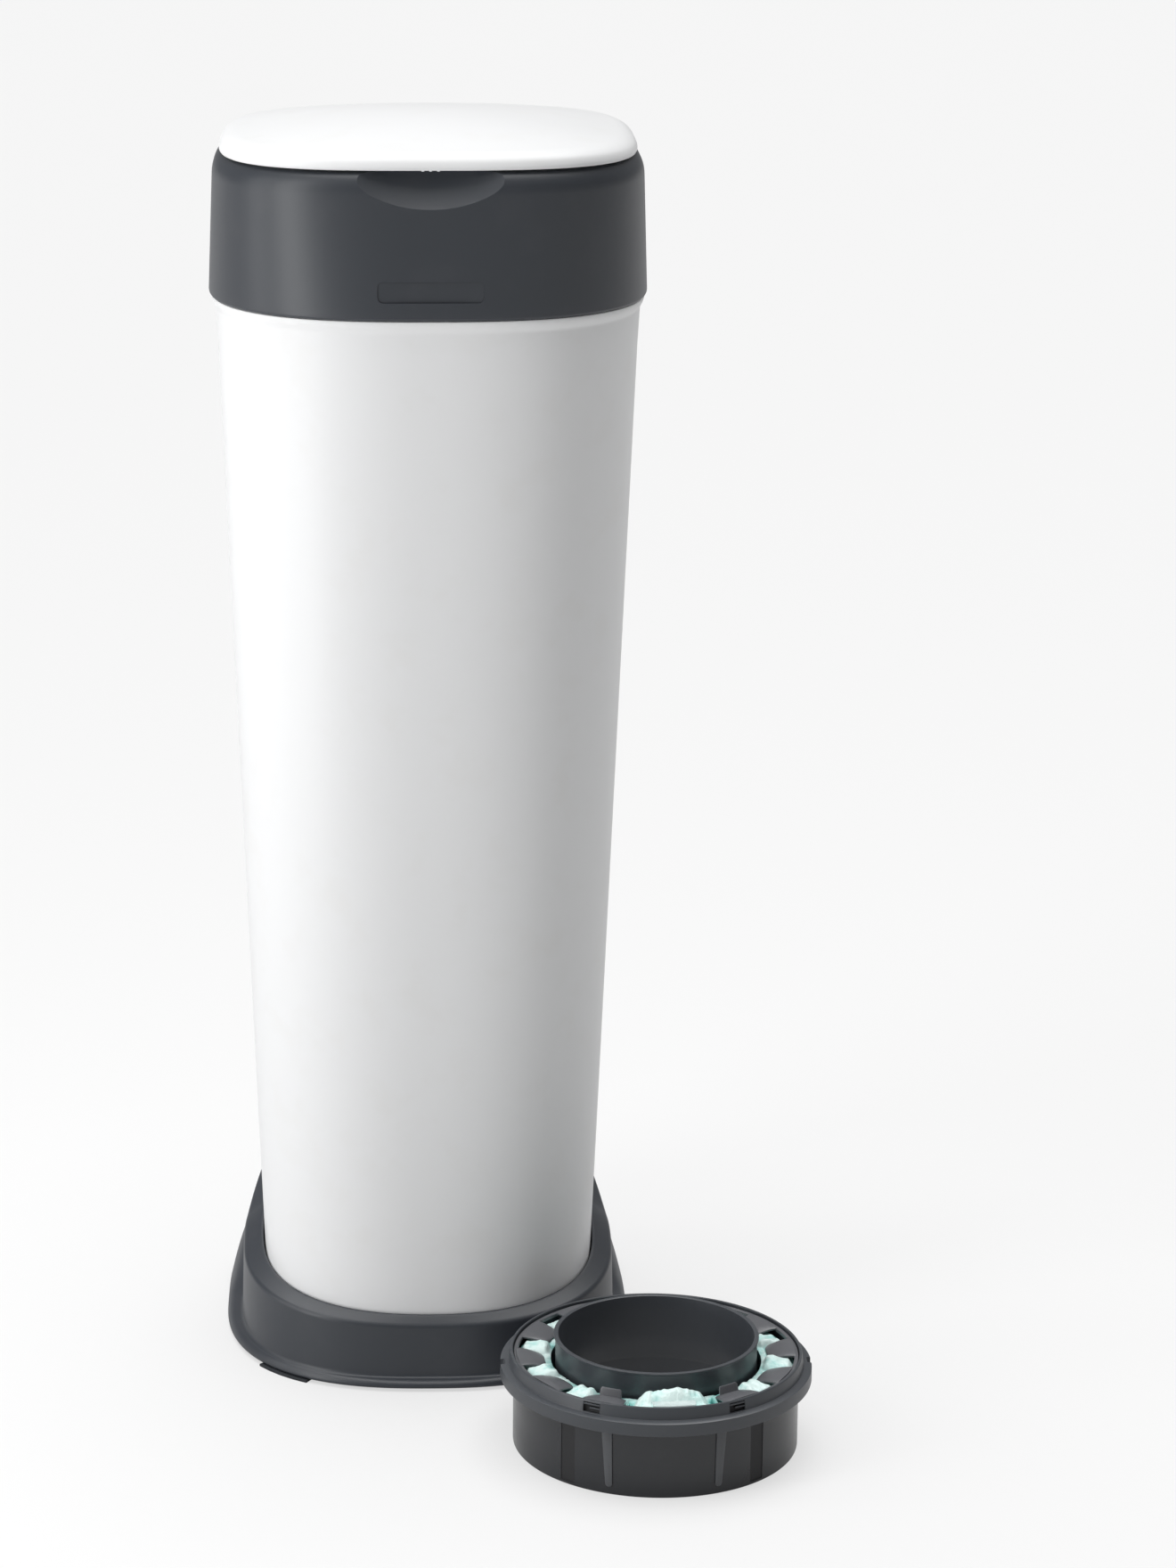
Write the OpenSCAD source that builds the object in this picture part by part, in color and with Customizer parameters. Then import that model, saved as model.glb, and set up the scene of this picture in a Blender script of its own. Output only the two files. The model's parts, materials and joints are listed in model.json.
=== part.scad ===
// Nappy bin: a tapered tub in a flared shoe, a hinged head that turns a film cassette, a domed lid,
// and a spare cassette standing beside the bin. Millimetres, +Z up, front towards -Y.
// The origin is on the floor under the middle of the tub.

/* [Tub] */
// Height of the tub's rim flange above the floor
tub_h = 598; // [560:1:640]
// Half width that the tub's wall would have at floor level
tub_foot_half = 91.3; // [89:0.1:94]
// Outward lean of the tub's wall for each millimetre of height
tub_lean = 0.0385; // [0.035:0.0005:0.0395]
// Wall thickness of the tub
tub_wall = 2.4; // [1.8:0.1:3]
// Thickness of the tub's floor
tub_floor_t = 3; // [2:0.1:4]
// Height of the locating upstand inside the rim
upstand_h = 6; // [4:0.5:7]

/* [Shoe] */
// Height of the shoe's floor above the ground
shoe_floor_z = 8; // [7:0.5:10]
// Thickness of the shoe's floor
shoe_floor_t = 3; // [2:0.1:4]
// Height of the shoe's top edge at the front
shoe_front_h = 40.7; // [34:0.1:50]
// Steady rise of the top edge from the front to the heel
shoe_sweep = 30; // [20:1:36]
// Extra rise of the top edge around the heel
shoe_heel = 75; // [50:1:90]
// Half width of the foot flange
foot_half = 115.2; // [112:0.1:118]
// Reach of the foot flange in front of its middle
foot_front = 123.5; // [119:0.5:126]
// Reach of the foot flange behind its middle
foot_rear = 110; // [100:0.5:118]
// How far the foot flange's middle lies behind the tub's axis
foot_back = 16; // [12:0.5:18]
// Height of the crease above the foot flange at the front
crease_front_h = 6.5; // [5.5:0.1:8]
// Thickness of the rubber pads under the shoe
pad_t = 1.5; // [1.2:0.1:2]

/* [Head] */
// Height of the collar from the tub's flange to its top
collar_h = 76.1; // [74:0.1:80]
// Wall thickness of the collar
collar_wall = 2.6; // [2:0.1:3]
// How far the collar stands out past the tub's wall
collar_step = 3.4; // [3.2:0.1:4.4]
// Width of the finger scoop in the collar's front
scoop_w = 99; // [60:1:110]
// Height of the finger scoop
scoop_h = 21; // [15:0.5:24]
// Depth of the finger scoop at the collar's top
scoop_deep = 9.5; // [6:0.5:12]
// Width of the bare recess low on the collar's front
recess_w = 55; // [40:1:60]
// Height of the bare recess
recess_h = 11; // [8:0.5:14]

/* [Lid] */
// How far the lid's lower edge lies inside the collar's top
lid_inset = 4; // [3.6:0.1:7]
// Wall thickness of the lid
lid_wall = 2.2; // [1.6:0.1:3]
// Height of the dome above the lid's shoulder
dome_h = 9; // [6:0.1:18]
// Height of the lid's shoulder above its lower edge
lid_side_h = 6.5; // [6.5:0.1:10]
// Radius of the plunger under the lid
plunger_r = 45; // [36:0.5:46]
// Depth of the plunger below the liner
plunger_h = 33; // [20:1:34]

/* [Cassette] */
// Outer radius of the cassette's wall
cassette_r = 76.5; // [74:0.1:77]
// How far the cassette's flange stands out from its wall
flange_out = 7; // [5:0.1:7.5]
// Height of the underside of the flange
flange_z = 37.5; // [34:0.1:40]
// Height of the flange's outer face
flange_h = 7.5; // [5:0.1:8]
// How far the upper lip stands out from the wall
lip_out = 1.7; // [1:0.1:2.5]
// Height of the upper lip
lip_z = 51.8; // [50:0.1:53]
// Outer radius of the cassette's inner tube
tube_r = 54; // [52.5:0.1:55]
// Height of the inner tube's rim
tube_h = 60.8; // [58:0.1:61]
// Wall thickness of the cassette
cassette_wall = 1.6; // [1.2:0.1:2]
// Places for tongues round the cassette's cover; the front one stays empty
tongues = 12; // [8:1:14]
// Distance of the standing spare to the right of the bin's axis
spare_x = 120; // [118:1:180]
// Distance of the standing spare in front of the bin's axis
spare_y = 170; // [168:1:220]

/* [Hinges and screws] */
// Diameter of both hinge pins
pin_d = 4; // [3:0.5:5]
// Outer radius of the hinge knuckles
knuckle_r = 5; // [4:0.1:5.2]
// Gap between a hinge axis and the collar's wall
hinge_out = 6.3; // [6:0.1:8]
// Height of the head's hinge axis above the tub's flange
head_pivot_up = 2; // [1.5:0.1:3]
// Distance of the lid's hinge axis below the collar's top
lid_pivot_down = 10.4; // [9:0.1:12]
// Shank diameter of the screws
screw_d = 4; // [3:0.5:4.5]

/* [Hidden] */

// Fits
seat_gap = 0.3;      // between a piece and the seat that it rests on
run_fit = 0.08;      // radial clearance of a turning fit
screw_fit = 0.05;    // radial clearance round a screw
curve_fn = 96;       // smoothness of round parts
sides = 72;          // facets round an oval shell
collar_sides = 96;   // facets round the collar, which holds the scoop
eps = 0.01;          // overlap that keeps cuts clean

// Radii shared by the cassette and the turntable that holds it
flange_r = cassette_r + flange_out;
lip_r = cassette_r + lip_out;

// Colours
white = [0.93, 0.93, 0.93];
grey = [0.30, 0.32, 0.35];
dark = [0.16, 0.17, 0.18];
rubber = [0.09, 0.09, 0.10];
steel = [0.70, 0.71, 0.73];
mint = [0.62, 0.88, 0.84];
clear = [0.88, 0.93, 0.94, 0.6];

// Oval plan: squareness of the tub and of the collar's top
tub_n = 2.6;
collar_top_n = 3.0;
lid_n = 3.1;
foot_n = 2.5;

// ---- Shape functions ----

// Smooth step from 0 to 1
function smooth(u) = let (v = min(max(u, 0), 1)) v * v * (3 - 2 * v);

// Angle from the front, folded to one side, in degrees
function fold(phi) = phi > 180 ? 360 - phi : phi;

// Radius of a superellipse in a direction measured from the front
function oval_r(phi, a, b, n) = pow(pow(abs(sin(phi)) / a, n) + pow(abs(cos(phi)) / b, n), -1 / n);

function oval_point(phi, half, z, n) =
    let (r = oval_r(phi, half, half, n)) [r * sin(phi), -r * cos(phi), z];

// One level ring of an oval shell
function oval_ring(half, z, n, count = sides) =
    [for (i = [0 : count - 1]) oval_point(360 * i / count, half, z, n)];

// Outline of a flat oval plate
function oval_outline(half, n, count = sides) =
    [for (p = oval_ring(half, 0, n, count)) [p[0], p[1]]];

function mix(p, q, u) = p + (q - p) * u;

// Rings of points joined by triangles; the first and last rings are closed by caps
module loft(rings) {
    count = len(rings[0]);
    last = len(rings) - 1;
    walls = [for (k = [0 : last - 1], i = [0 : count - 1])
        let (j = (i + 1) % count, p = k * count, q = p + count)
        each [[p + i, q + i, q + j], [p + i, q + j, p + j]]];
    caps = [[for (i = [0 : count - 1]) i], [for (i = [0 : count - 1]) (last + 1) * count - 1 - i]];
    polyhedron(points = [for (ring = rings) each ring], faces = concat(walls, caps), convexity = 12);
}

// Rings of points joined by triangles, with the last ring joined back to the first
module loop_loft(rings) {
    count = len(rings[0]);
    total = len(rings) * count;
    walls = [for (k = [0 : len(rings) - 1], i = [0 : count - 1])
        let (j = (i + 1) % count, p = k * count, q = (p + count) % total)
        each [[p + i, q + i, q + j], [p + i, q + j, p + j]]];
    polyhedron(points = [for (ring = rings) each ring], faces = walls, convexity = 12);
}

// Four places, one in each quadrant
module at_corners(x, y) {
    for (sx = [-1, 1], sy = [-1, 1]) translate([sx * x, sy * y, 0]) children();
}

// A screw standing head down: head below z = 0, shank above
module screw(length, head_t = 2.3) {
    translate([0, 0, -head_t]) cylinder(r = screw_d, h = head_t, $fn = curve_fn);
    translate([0, 0, -eps]) cylinder(d = screw_d, h = length + eps, $fn = curve_fn);
}

// Hole for a screw's shank
module screw_hole(length) {
    cylinder(r = screw_d / 2 + screw_fit, h = length, $fn = curve_fn);
}

// Solid slice of a ring between two radii and two heights
module ring(r_in, r_out, z0, z1) {
    rotate_extrude($fn = curve_fn)
        translate([r_in, z0]) square([r_out - r_in, z1 - z0]);
}

// A disc sector in plan, used to cut slots
module sector(r, angle) {
    polygon([[0, 0], [r * cos(angle / 2), -r * sin(angle / 2)], [r, 0],
        [r * cos(angle / 2), r * sin(angle / 2)]]);
}

// ---- Tub ----

tub_z = shoe_floor_z + shoe_floor_t + seat_gap;
tub_rim_half = tub_half(tub_h);
tub_flange_half = tub_rim_half + collar_step - 1.4;
upstand_out = tub_rim_half - 1.3;
upstand_in = upstand_out - 2;
boss_x = 42;
boss_y = 42;
boss_r = screw_d / 2 + 3;
boss_top = tub_z + tub_floor_t + 12;
screw_len = boss_top - shoe_floor_z - 3;

function tub_half(z) = tub_foot_half + tub_lean * z;

module tub() {
    inner_z = tub_z + tub_floor_t;
    color(white) difference() {
        union() {
            loft([
                oval_ring(tub_half(tub_z) - 4, tub_z, tub_n),
                oval_ring(tub_half(tub_z) - 1.5, tub_z + 1.2, tub_n),
                oval_ring(tub_half(tub_z + 5), tub_z + 5, tub_n),
                oval_ring(tub_half(tub_h / 2), tub_h / 2, tub_n),
                oval_ring(tub_half(tub_h - 6), tub_h - 6, tub_n),
                oval_ring(tub_flange_half - 0.3, tub_h - 3.2, tub_n),
                oval_ring(tub_flange_half, tub_h - 0.6, tub_n),
                oval_ring(tub_flange_half - 0.5, tub_h, tub_n),
                oval_ring(upstand_out, tub_h, tub_n),
                oval_ring(upstand_out, tub_h + upstand_h, tub_n),
                oval_ring(upstand_in, tub_h + upstand_h, tub_n),
                oval_ring(upstand_in, tub_h - 4, tub_n),
                oval_ring(tub_half(tub_h - 14) - tub_wall, tub_h - 14, tub_n),
                oval_ring(tub_half(inner_z) - tub_wall, inner_z + 5, tub_n),
                oval_ring(tub_half(inner_z) - tub_wall - 4, inner_z, tub_n)
            ]);
            at_corners(boss_x, boss_y)
                translate([0, 0, inner_z - 1])
                    cylinder(r = boss_r, h = boss_top - inner_z + 1, $fn = curve_fn);
        }
        at_corners(boss_x, boss_y) translate([0, 0, tub_z - 1]) screw_hole(boss_top - tub_z - 1);
        bracket_screw_places() screw_hole(tub_wall + 6);
    }
}

// ---- Shoe ----

shoe_lip_out = 6.9;   // how far the shoe's lip stands out from the tub
crease_out = 10.5;    // how far the crease stands out from the tub
socket_gap = 0.4;     // round the tub inside the shoe
pad_gap = 0.2;        // between a pad and the shoe
skirt_w = 5;          // width of the shoe's bottom edge
centre_pad_r = 12;

function shoe_top(phi) = shoe_front_h + shoe_sweep * pow(sin(phi / 2), 2)
    + shoe_heel * smooth((fold(phi) - 62) / 80);

function shoe_lip(phi) = shoe_top(phi) - 5 - 1.5 * pow(sin(phi / 2), 2)
    - 8 * smooth((fold(phi) - 60) / 70);

function shoe_crease(phi) = crease_front_h + 2.5 * smooth(fold(phi) / 90)
    + 91 * smooth((fold(phi) - 60) / 62);

function foot_point(phi, inset, z) =
    let (r = oval_r(phi, foot_half - inset, (fold(phi) < 90 ? foot_front : foot_rear) - inset, foot_n))
    [r * sin(phi), foot_back - r * cos(phi), z];

function tub_side(phi, out, z) = oval_point(phi, tub_half(z) + out, z, tub_n);

// A point between the crease and the foot flange: share of the way out, share of the way down
function flange_point(phi, out, down) =
    let (c = tub_side(phi, crease_out, shoe_crease(phi)), f = foot_point(phi, 0, pad_t + 2))
    [mix(c[0], f[0], out), mix(c[1], f[1], out), mix(c[2], f[2], down)];

module base_shoe() {
    steps = [for (i = [0 : sides - 1]) 360 * i / sides];
    floor_top = shoe_floor_z + shoe_floor_t;
    color(grey) difference() {
        union() {
            loft([
                [for (a = steps) mix(foot_point(a, skirt_w, shoe_floor_z),
                    tub_side(a, socket_gap, shoe_floor_z), 0.35)],
                [for (a = steps) foot_point(a, skirt_w, pad_t + pad_gap)],
                [for (a = steps) foot_point(a, 0.8, pad_t + pad_gap)],
                [for (a = steps) foot_point(a, 0, pad_t + 1.2)],
                [for (a = steps) flange_point(a, 0.97, 0.92)],
                [for (a = steps) flange_point(a, 0.78, 0.5)],
                [for (a = steps) flange_point(a, 0.5, 0.2)],
                [for (a = steps) flange_point(a, 0.08, 0.06)],
                [for (a = steps) tub_side(a, crease_out - 0.6, shoe_crease(a) + 1)],
                [for (a = steps) tub_side(a, shoe_lip_out, shoe_lip(a) - 0.6)],
                [for (a = steps) tub_side(a, shoe_lip_out - 0.8, shoe_lip(a) + 1)],
                [for (a = steps) tub_side(a, 1.6, shoe_top(a))],
                [for (a = steps) tub_side(a, socket_gap, shoe_top(a))],
                [for (a = steps) tub_side(a, socket_gap, floor_top)]
            ]);
            translate([0, 0, pad_t + pad_gap])
                cylinder(r = centre_pad_r + 3, h = shoe_floor_z - pad_t, $fn = curve_fn);
        }
        at_corners(boss_x, boss_y) translate([0, 0, shoe_floor_z - 1]) screw_hole(shoe_floor_t + 2);
    }
}

pad_from = 32;        // where a front pad starts, from the front, in degrees
pad_to = 48;          // where a front pad ends
pad_in = 12;          // how far a pad reaches under the shoe
pad_proud = 1.2;      // how far a pad shows outside the shoe

module rubber_pads() {
    color(rubber) {
        for (start = [pad_from, 180 - pad_to, 180 + pad_from, 360 - pad_to])
            linear_extrude(pad_t) polygon([
                for (k = [0 : 4]) foot_xy(start + (pad_to - pad_from) * k / 4, -pad_proud),
                for (k = [4 : -1 : 0]) foot_xy(start + (pad_to - pad_from) * k / 4, pad_in)]);
        cylinder(r = centre_pad_r, h = pad_t, $fn = curve_fn);
    }
}

function foot_xy(phi, inset) = let (p = foot_point(phi, inset, 0)) [p[0], p[1]];

module base_screws() {
    color(steel) at_corners(boss_x, boss_y) translate([0, 0, shoe_floor_z - seat_gap]) screw(screw_len);
}

// ---- Head hinge ----

head_pivot_y = tub_rim_half + collar_step + hinge_out;
head_pivot_z = tub_h + head_pivot_up;
head_knuckle_x = 19.5;      // half length of the head's knuckle
bracket_knuckle_w = 14;     // length of each of the bracket's knuckles
knuckle_gap = 0.5;          // between neighbouring knuckles
bracket_half = head_knuckle_x + knuckle_gap + bracket_knuckle_w;
bracket_t = 3;              // thickness of the bracket's plate
bracket_y = tub_rim_half + seat_gap + 0.2;
bracket_h = 40;
bracket_low = tub_h - 12 - bracket_h;
bracket_screw_x = 12;
bracket_screw_up = [10, 28];        // heights of the screws above the bracket's lower edge

module bracket_screw_places() {
    for (sx = [-1, 1], dz = bracket_screw_up)
        translate([sx * bracket_screw_x, bracket_y + bracket_t + seat_gap, bracket_low + dz])
            rotate([90, 0, 0]) children();
}

module hinge_bracket() {
    color(grey) difference() {
        union() {
            translate([-bracket_half, bracket_y, bracket_low]) cube([2 * bracket_half, bracket_t, bracket_h]);
            for (sx = [-1, 1]) {
                knuckle_x = sx * (bracket_half - bracket_knuckle_w / 2);
                translate([knuckle_x, head_pivot_y, head_pivot_z]) rotate([0, 90, 0])
                    cylinder(r = knuckle_r, h = bracket_knuckle_w, center = true, $fn = curve_fn);
                translate([knuckle_x - bracket_knuckle_w / 2, 0, 0])
                    rotate([90, 0, 90]) linear_extrude(bracket_knuckle_w) polygon([
                        [bracket_y + 1, bracket_low + bracket_h],
                        [bracket_y + 1, bracket_low + 8],
                        [bracket_y + bracket_t, bracket_low + 8],
                        [head_pivot_y + knuckle_r, head_pivot_z],
                        [head_pivot_y, head_pivot_z],
                        [head_pivot_y - knuckle_r * 0.7, head_pivot_z - knuckle_r * 0.7]]);
            }
        }
        translate([0, head_pivot_y, head_pivot_z]) rotate([0, 90, 0])
            cylinder(d = pin_d + 2 * screw_fit, h = 3 * bracket_half, center = true, $fn = curve_fn);
        bracket_screw_places() screw_hole(bracket_t + 2);
    }
}

module bracket_screws() {
    color(steel) bracket_screw_places() screw(bracket_t + tub_wall + 3);
}

module head_hinge_pin() {
    color(steel) translate([0, head_pivot_y, head_pivot_z]) rotate([0, 90, 0])
        cylinder(d = pin_d, h = 2 * bracket_half + 2, center = true, $fn = curve_fn);
}

// ---- Head ----

collar_foot_half = tub_rim_half + collar_step;
collar_top_half = collar_foot_half - 2.5;
collar_lip_half = collar_top_half - 13.7;     // inner edge of the flat top, where the step starts
throat_half = collar_top_half - 21.7;         // inner edge of the step
step_z = collar_h - 2.9;
step_t = 2.5;
scoop_ball_in = scoop_in();
scoop_ball_r = scoop_r();
scoop_y = -collar_top_half - scoop_ball_in;
scoop_z = collar_h + 1 - scoop_h + scoop_arc_r();

// Radius of the arc that the scoop's edge follows on the collar's front
function scoop_arc_r() = (pow(scoop_w / 2, 2) + pow(scoop_h, 2)) / (2 * scoop_h);

// Distance of the scoop's ball centre in front of the collar
function scoop_in() =
    let (rise = scoop_arc_r() - scoop_h, chord = pow(scoop_arc_r(), 2) - pow(rise, 2))
    (chord - pow(scoop_deep + 1, 2)) / (2 * (scoop_deep + 1));
function scoop_r() = sqrt(pow(scoop_arc_r(), 2) + pow(scoop_in(), 2));

function collar_n(z) = tub_n + (collar_top_n - tub_n) * z / collar_h;

// A collar point, pushed back where the scoop's ball reaches it
function scooped(p, ball_r) =
    let (reach = pow(ball_r, 2) - pow(p[0], 2) - pow(p[2] - scoop_z, 2),
        y = reach > 0 ? scoop_y + sqrt(reach) : p[1])
    [p[0], p[1] < 0 ? max(p[1], y) : p[1], p[2]];

function collar_ring(half, z, ball_r) =
    [for (p = oval_ring(half, z, collar_n(z), collar_sides)) scooped(p, ball_r)];

// Half width of the collar's outer face up to where its shoulder starts
function collar_half(z) = mix(collar_foot_half, collar_top_half, z / (collar_h - 13));

shoulder = [[10.5, 0.15], [7.5, 0.7], [4.5, 1.9], [2.2, 3.4], [0.7, 5], [0, 6.6]];  // down, in
wall_steps = [1.5, 26, 46, 54, 57, 60, 63];

module collar_shell() {
    outer = [for (z = wall_steps) [collar_half(z), z]];
    rounded = [for (s = shoulder) [collar_top_half - s[1], collar_h - s[0]]];
    inner_ball = scoop_ball_r + collar_wall;
    under = step_z - step_t;
    loop_loft(concat(
        [collar_ring(collar_foot_half - 0.9, seat_gap, scoop_ball_r)],
        [for (p = concat(outer, rounded)) collar_ring(p[0], p[1], scoop_ball_r)],
        [collar_ring(collar_lip_half, collar_h, 0)],
        [collar_ring(collar_lip_half, step_z, 0)],
        [collar_ring(throat_half, step_z, 0)],
        [collar_ring(throat_half, under, 0)],
        [collar_ring(collar_top_half - 1 - collar_wall, under, inner_ball)],
        [for (k = [len(wall_steps) - 1 : -1 : 0])
            collar_ring(collar_half(wall_steps[k]) - collar_wall, wall_steps[k], inner_ball)],
        [collar_ring(collar_foot_half - collar_wall, seat_gap, inner_ball)]
    ));
}

lid_pivot_y = collar_top_half + hinge_out;
lid_pivot_z = collar_h - lid_pivot_down;
lid_arm_x = 29;             // middle of each lid arm
lid_arm_w = 10;
lug_w = 9;                  // width of each of the collar's lugs
chassis_screw_at = 83;      // both ways from the axis
collar_boss_r = screw_d / 2 + 2.2;
deck_z = collar_h - 15.9;
deck_t = 2.5;
collar_boss_z = deck_z + deck_t + seat_gap;

// Knuckle on the collar: a round end on the axis and a root in the wall
module lug(y, z, wall_y, w) {
    rotate([0, 90, 0]) translate([-z, y, 0])
        cylinder(r = knuckle_r - 0.3, h = w, center = true, $fn = curve_fn);
    translate([-w / 2, wall_y - 1.5, z - knuckle_r + 0.3])
        cube([w, y - wall_y + 1.5, 2 * knuckle_r - 0.6]);
}

module lid_lug_places() {
    for (sx = [-1, 1], side = [-1, 1])
        translate([sx * (lid_arm_x + side * (lid_arm_w / 2 + knuckle_gap + lug_w / 2)), 0, 0]) children();
}

module head_collar() {
    color(grey) translate([0, 0, tub_h]) difference() {
        union() {
            collar_shell();
            head_lug();
            lid_lug_places() lug(lid_pivot_y, lid_pivot_z, collar_half(lid_pivot_z), lug_w);
            at_corners(chassis_screw_at, chassis_screw_at)
                translate([0, 0, collar_boss_z])
                    cylinder(r = collar_boss_r, h = step_z - step_t / 2 - collar_boss_z, $fn = curve_fn);
        }
        translate([0, head_pivot_y, head_pivot_up]) rotate([0, 90, 0])
            cylinder(d = pin_d + 2 * run_fit, h = 3 * head_knuckle_x, center = true, $fn = curve_fn);
        translate([0, lid_pivot_y, lid_pivot_z]) rotate([0, 90, 0])
            cylinder(d = pin_d + 2 * screw_fit, h = 4 * lid_arm_x, center = true, $fn = curve_fn);
        at_corners(chassis_screw_at, chassis_screw_at)
            translate([0, 0, deck_z]) screw_hole(step_z - step_t - deck_z);
        recess_cut();
    }
}

// The head's knuckle, wider than it is tall, rooted low on the collar's rear wall
module head_lug() {
    w = 2 * head_knuckle_x;
    rotate([0, 90, 0]) translate([-head_pivot_up, head_pivot_y, 0])
        cylinder(r = knuckle_r, h = w, center = true, $fn = curve_fn);
    translate([-w / 2, 0, 0]) rotate([90, 0, 90]) linear_extrude(w) polygon([
        [collar_foot_half - 1.5, seat_gap + 1],
        [head_pivot_y, head_pivot_up - knuckle_r * 0.4],
        [head_pivot_y, head_pivot_up + knuckle_r],
        [collar_foot_half - 1.5, head_pivot_up + knuckle_r + 6]]);
}

recess_z = 15.3;            // middle of the bare recess above the tub's flange
recess_deep = 1.4;
recess_r = 3;

module recess_cut() {
    translate([0, -collar_half(recess_z) + recess_deep, recess_z]) rotate([90, 0, 0])
        linear_extrude(10) {
            square([recess_w - 2 * recess_r, recess_h], center = true);
            square([recess_w, recess_h - 2 * recess_r], center = true);
            for (sx = [-1, 1], sy = [-1, 1])
                translate([sx * (recess_w / 2 - recess_r), sy * (recess_h / 2 - recess_r)])
                    circle(r = recess_r, $fn = curve_fn);
        }
}

// ---- Chassis: the deck and the pot that the turntable turns in ----

cassette_z = -3.5;                                  // foot of the fitted cassette, from the flange
table_floor_t = 3;
table_floor_z = cassette_z - seat_gap - table_floor_t;
sleeve_r = tube_r + 6;                              // outer radius of the turntable's sleeve
sleeve_t = 2;
table_in = cassette_r + 1.5;
table_wall = 2.5;
rim_r = flange_r + 6.5;
rim_z = cassette_z + flange_z - seat_gap;           // top of the turntable's rim
grip_h = 7;                                         // height of the grip ring above the rim
pot_in = rim_r + 2;
pot_wall = 2;
pot_floor_t = 3;
pot_floor_z = table_floor_z - seat_gap - 6.3;
bearing_wall = 2.4;
snap_t = 2.5;

module head_chassis() {
    pot_out = pot_in + pot_wall;
    deck_half = collar_half(deck_z) - collar_wall - 0.5;
    color(dark) translate([0, 0, tub_h]) difference() {
        union() {
            translate([0, 0, deck_z]) linear_extrude(deck_t) difference() {
                polygon(oval_outline(deck_half, collar_n(deck_z), collar_sides));
                circle(r = pot_in + pot_wall / 2, $fn = curve_fn);
            }
            rotate_extrude($fn = curve_fn) polygon([
                [sleeve_r + run_fit, pot_floor_z], [pot_out, pot_floor_z], [pot_out, deck_z + deck_t],
                [pot_in, deck_z + deck_t], [pot_in, pot_floor_z + pot_floor_t],
                [sleeve_r + run_fit + bearing_wall, pot_floor_z + pot_floor_t],
                [sleeve_r + run_fit + bearing_wall, table_floor_z - seat_gap],
                [sleeve_r + run_fit, table_floor_z - seat_gap]]);
            for (k = [0 : 2]) rotate([0, 0, 120 * k + 60]) snap();
        }
        translate([0, scoop_y, scoop_z]) sphere(r = scoop_ball_r + collar_wall + 1.8, $fn = curve_fn);
        at_corners(chassis_screw_at, chassis_screw_at)
            translate([0, 0, deck_z - 1]) screw_hole(deck_t + 2);
        finger_screw_places() translate([0, 0, pot_floor_z - 1]) screw_hole(pot_floor_t + 2);
        spring_screw_place() translate([0, 0, pot_floor_z - 1]) screw_hole(pot_floor_t + 2);
    }
}

// A snap that keeps the turntable down when the head is tipped
module snap() {
    z = rim_z + grip_h + seat_gap;
    rotate([0, 0, -4]) rotate_extrude(angle = 8, $fn = curve_fn)
        polygon([[rim_r - 1.2, z], [pot_in + pot_wall / 2, z], [pot_in + pot_wall / 2, z + snap_t + 3],
            [rim_r - 1.2, z + snap_t]]);
}

module chassis_screws() {
    color(steel) translate([0, 0, tub_h + deck_z - seat_gap])
        at_corners(chassis_screw_at, chassis_screw_at) screw(step_z - step_t - deck_z - 0.6);
}

module head_seal() {
    seal_out = collar_foot_half - collar_wall - 0.5;
    z = upstand_h + seat_gap;
    n = collar_n(z);
    color(rubber) translate([0, 0, tub_h]) loop_loft([
        oval_ring(upstand_in - 1.5, z, n),
        oval_ring(seal_out, z, n),
        oval_ring(seal_out, z + 3, n),
        oval_ring(upstand_in - 1.5, z + 3, n)
    ]);
}

finger_t = 2;
finger_ring_in = tube_r - 4;
finger_ring_out = sleeve_r + 8;
finger_screw_r = sleeve_r + 5.2;
finger_reach = 24;          // radius of the hole that the fingers leave
finger_drop = 14;
finger_count = 8;
finger_z = pot_floor_z - seat_gap;

module finger_screw_places() {
    for (k = [0 : 3]) rotate([0, 0, 90 * k + 22.5]) translate([finger_screw_r, 0, 0]) children();
}

module grip_fingers() {
    color(dark) translate([0, 0, tub_h]) difference() {
        union() {
            ring(finger_ring_in, finger_ring_out, finger_z - finger_t, finger_z);
            for (k = [0 : finger_count - 1]) rotate([0, 0, 360 * k / finger_count])
                rotate_extrude(angle = 34, $fn = curve_fn) polygon([
                    [finger_ring_in + 1, finger_z - finger_t], [finger_ring_in + 1, finger_z],
                    [finger_ring_in - 2, finger_z], [finger_reach, finger_z - finger_drop],
                    [finger_reach, finger_z - finger_drop - finger_t]]);
        }
        finger_screw_places() translate([0, 0, finger_z - finger_t - 1]) screw_hole(finger_t + 2);
    }
}

module finger_screws() {
    color(steel) translate([0, 0, tub_h + finger_z - finger_t - seat_gap])
        finger_screw_places() screw(finger_t + pot_floor_t + 0.8);
}

tooth_count = 36;
tooth_r = cassette_r + 6.8;     // tips of the click teeth
tooth_root = table_in + table_wall;
tooth_z0 = table_floor_z + 6;
tooth_h = 6;
spring_z = pot_floor_z + pot_floor_t + seat_gap;
spring_at = 200;                // where the click spring stands, in degrees
spring_screw_r = tooth_r + 3.6;
spring_screw_back = -14.5;      // from the spring's middle back to its screw
spring_t = 1.2;                 // thickness of the spring's foot

module spring_screw_place() {
    rotate([0, 0, spring_at]) translate([spring_screw_r - 1, spring_screw_back, 0]) children();
}

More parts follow.
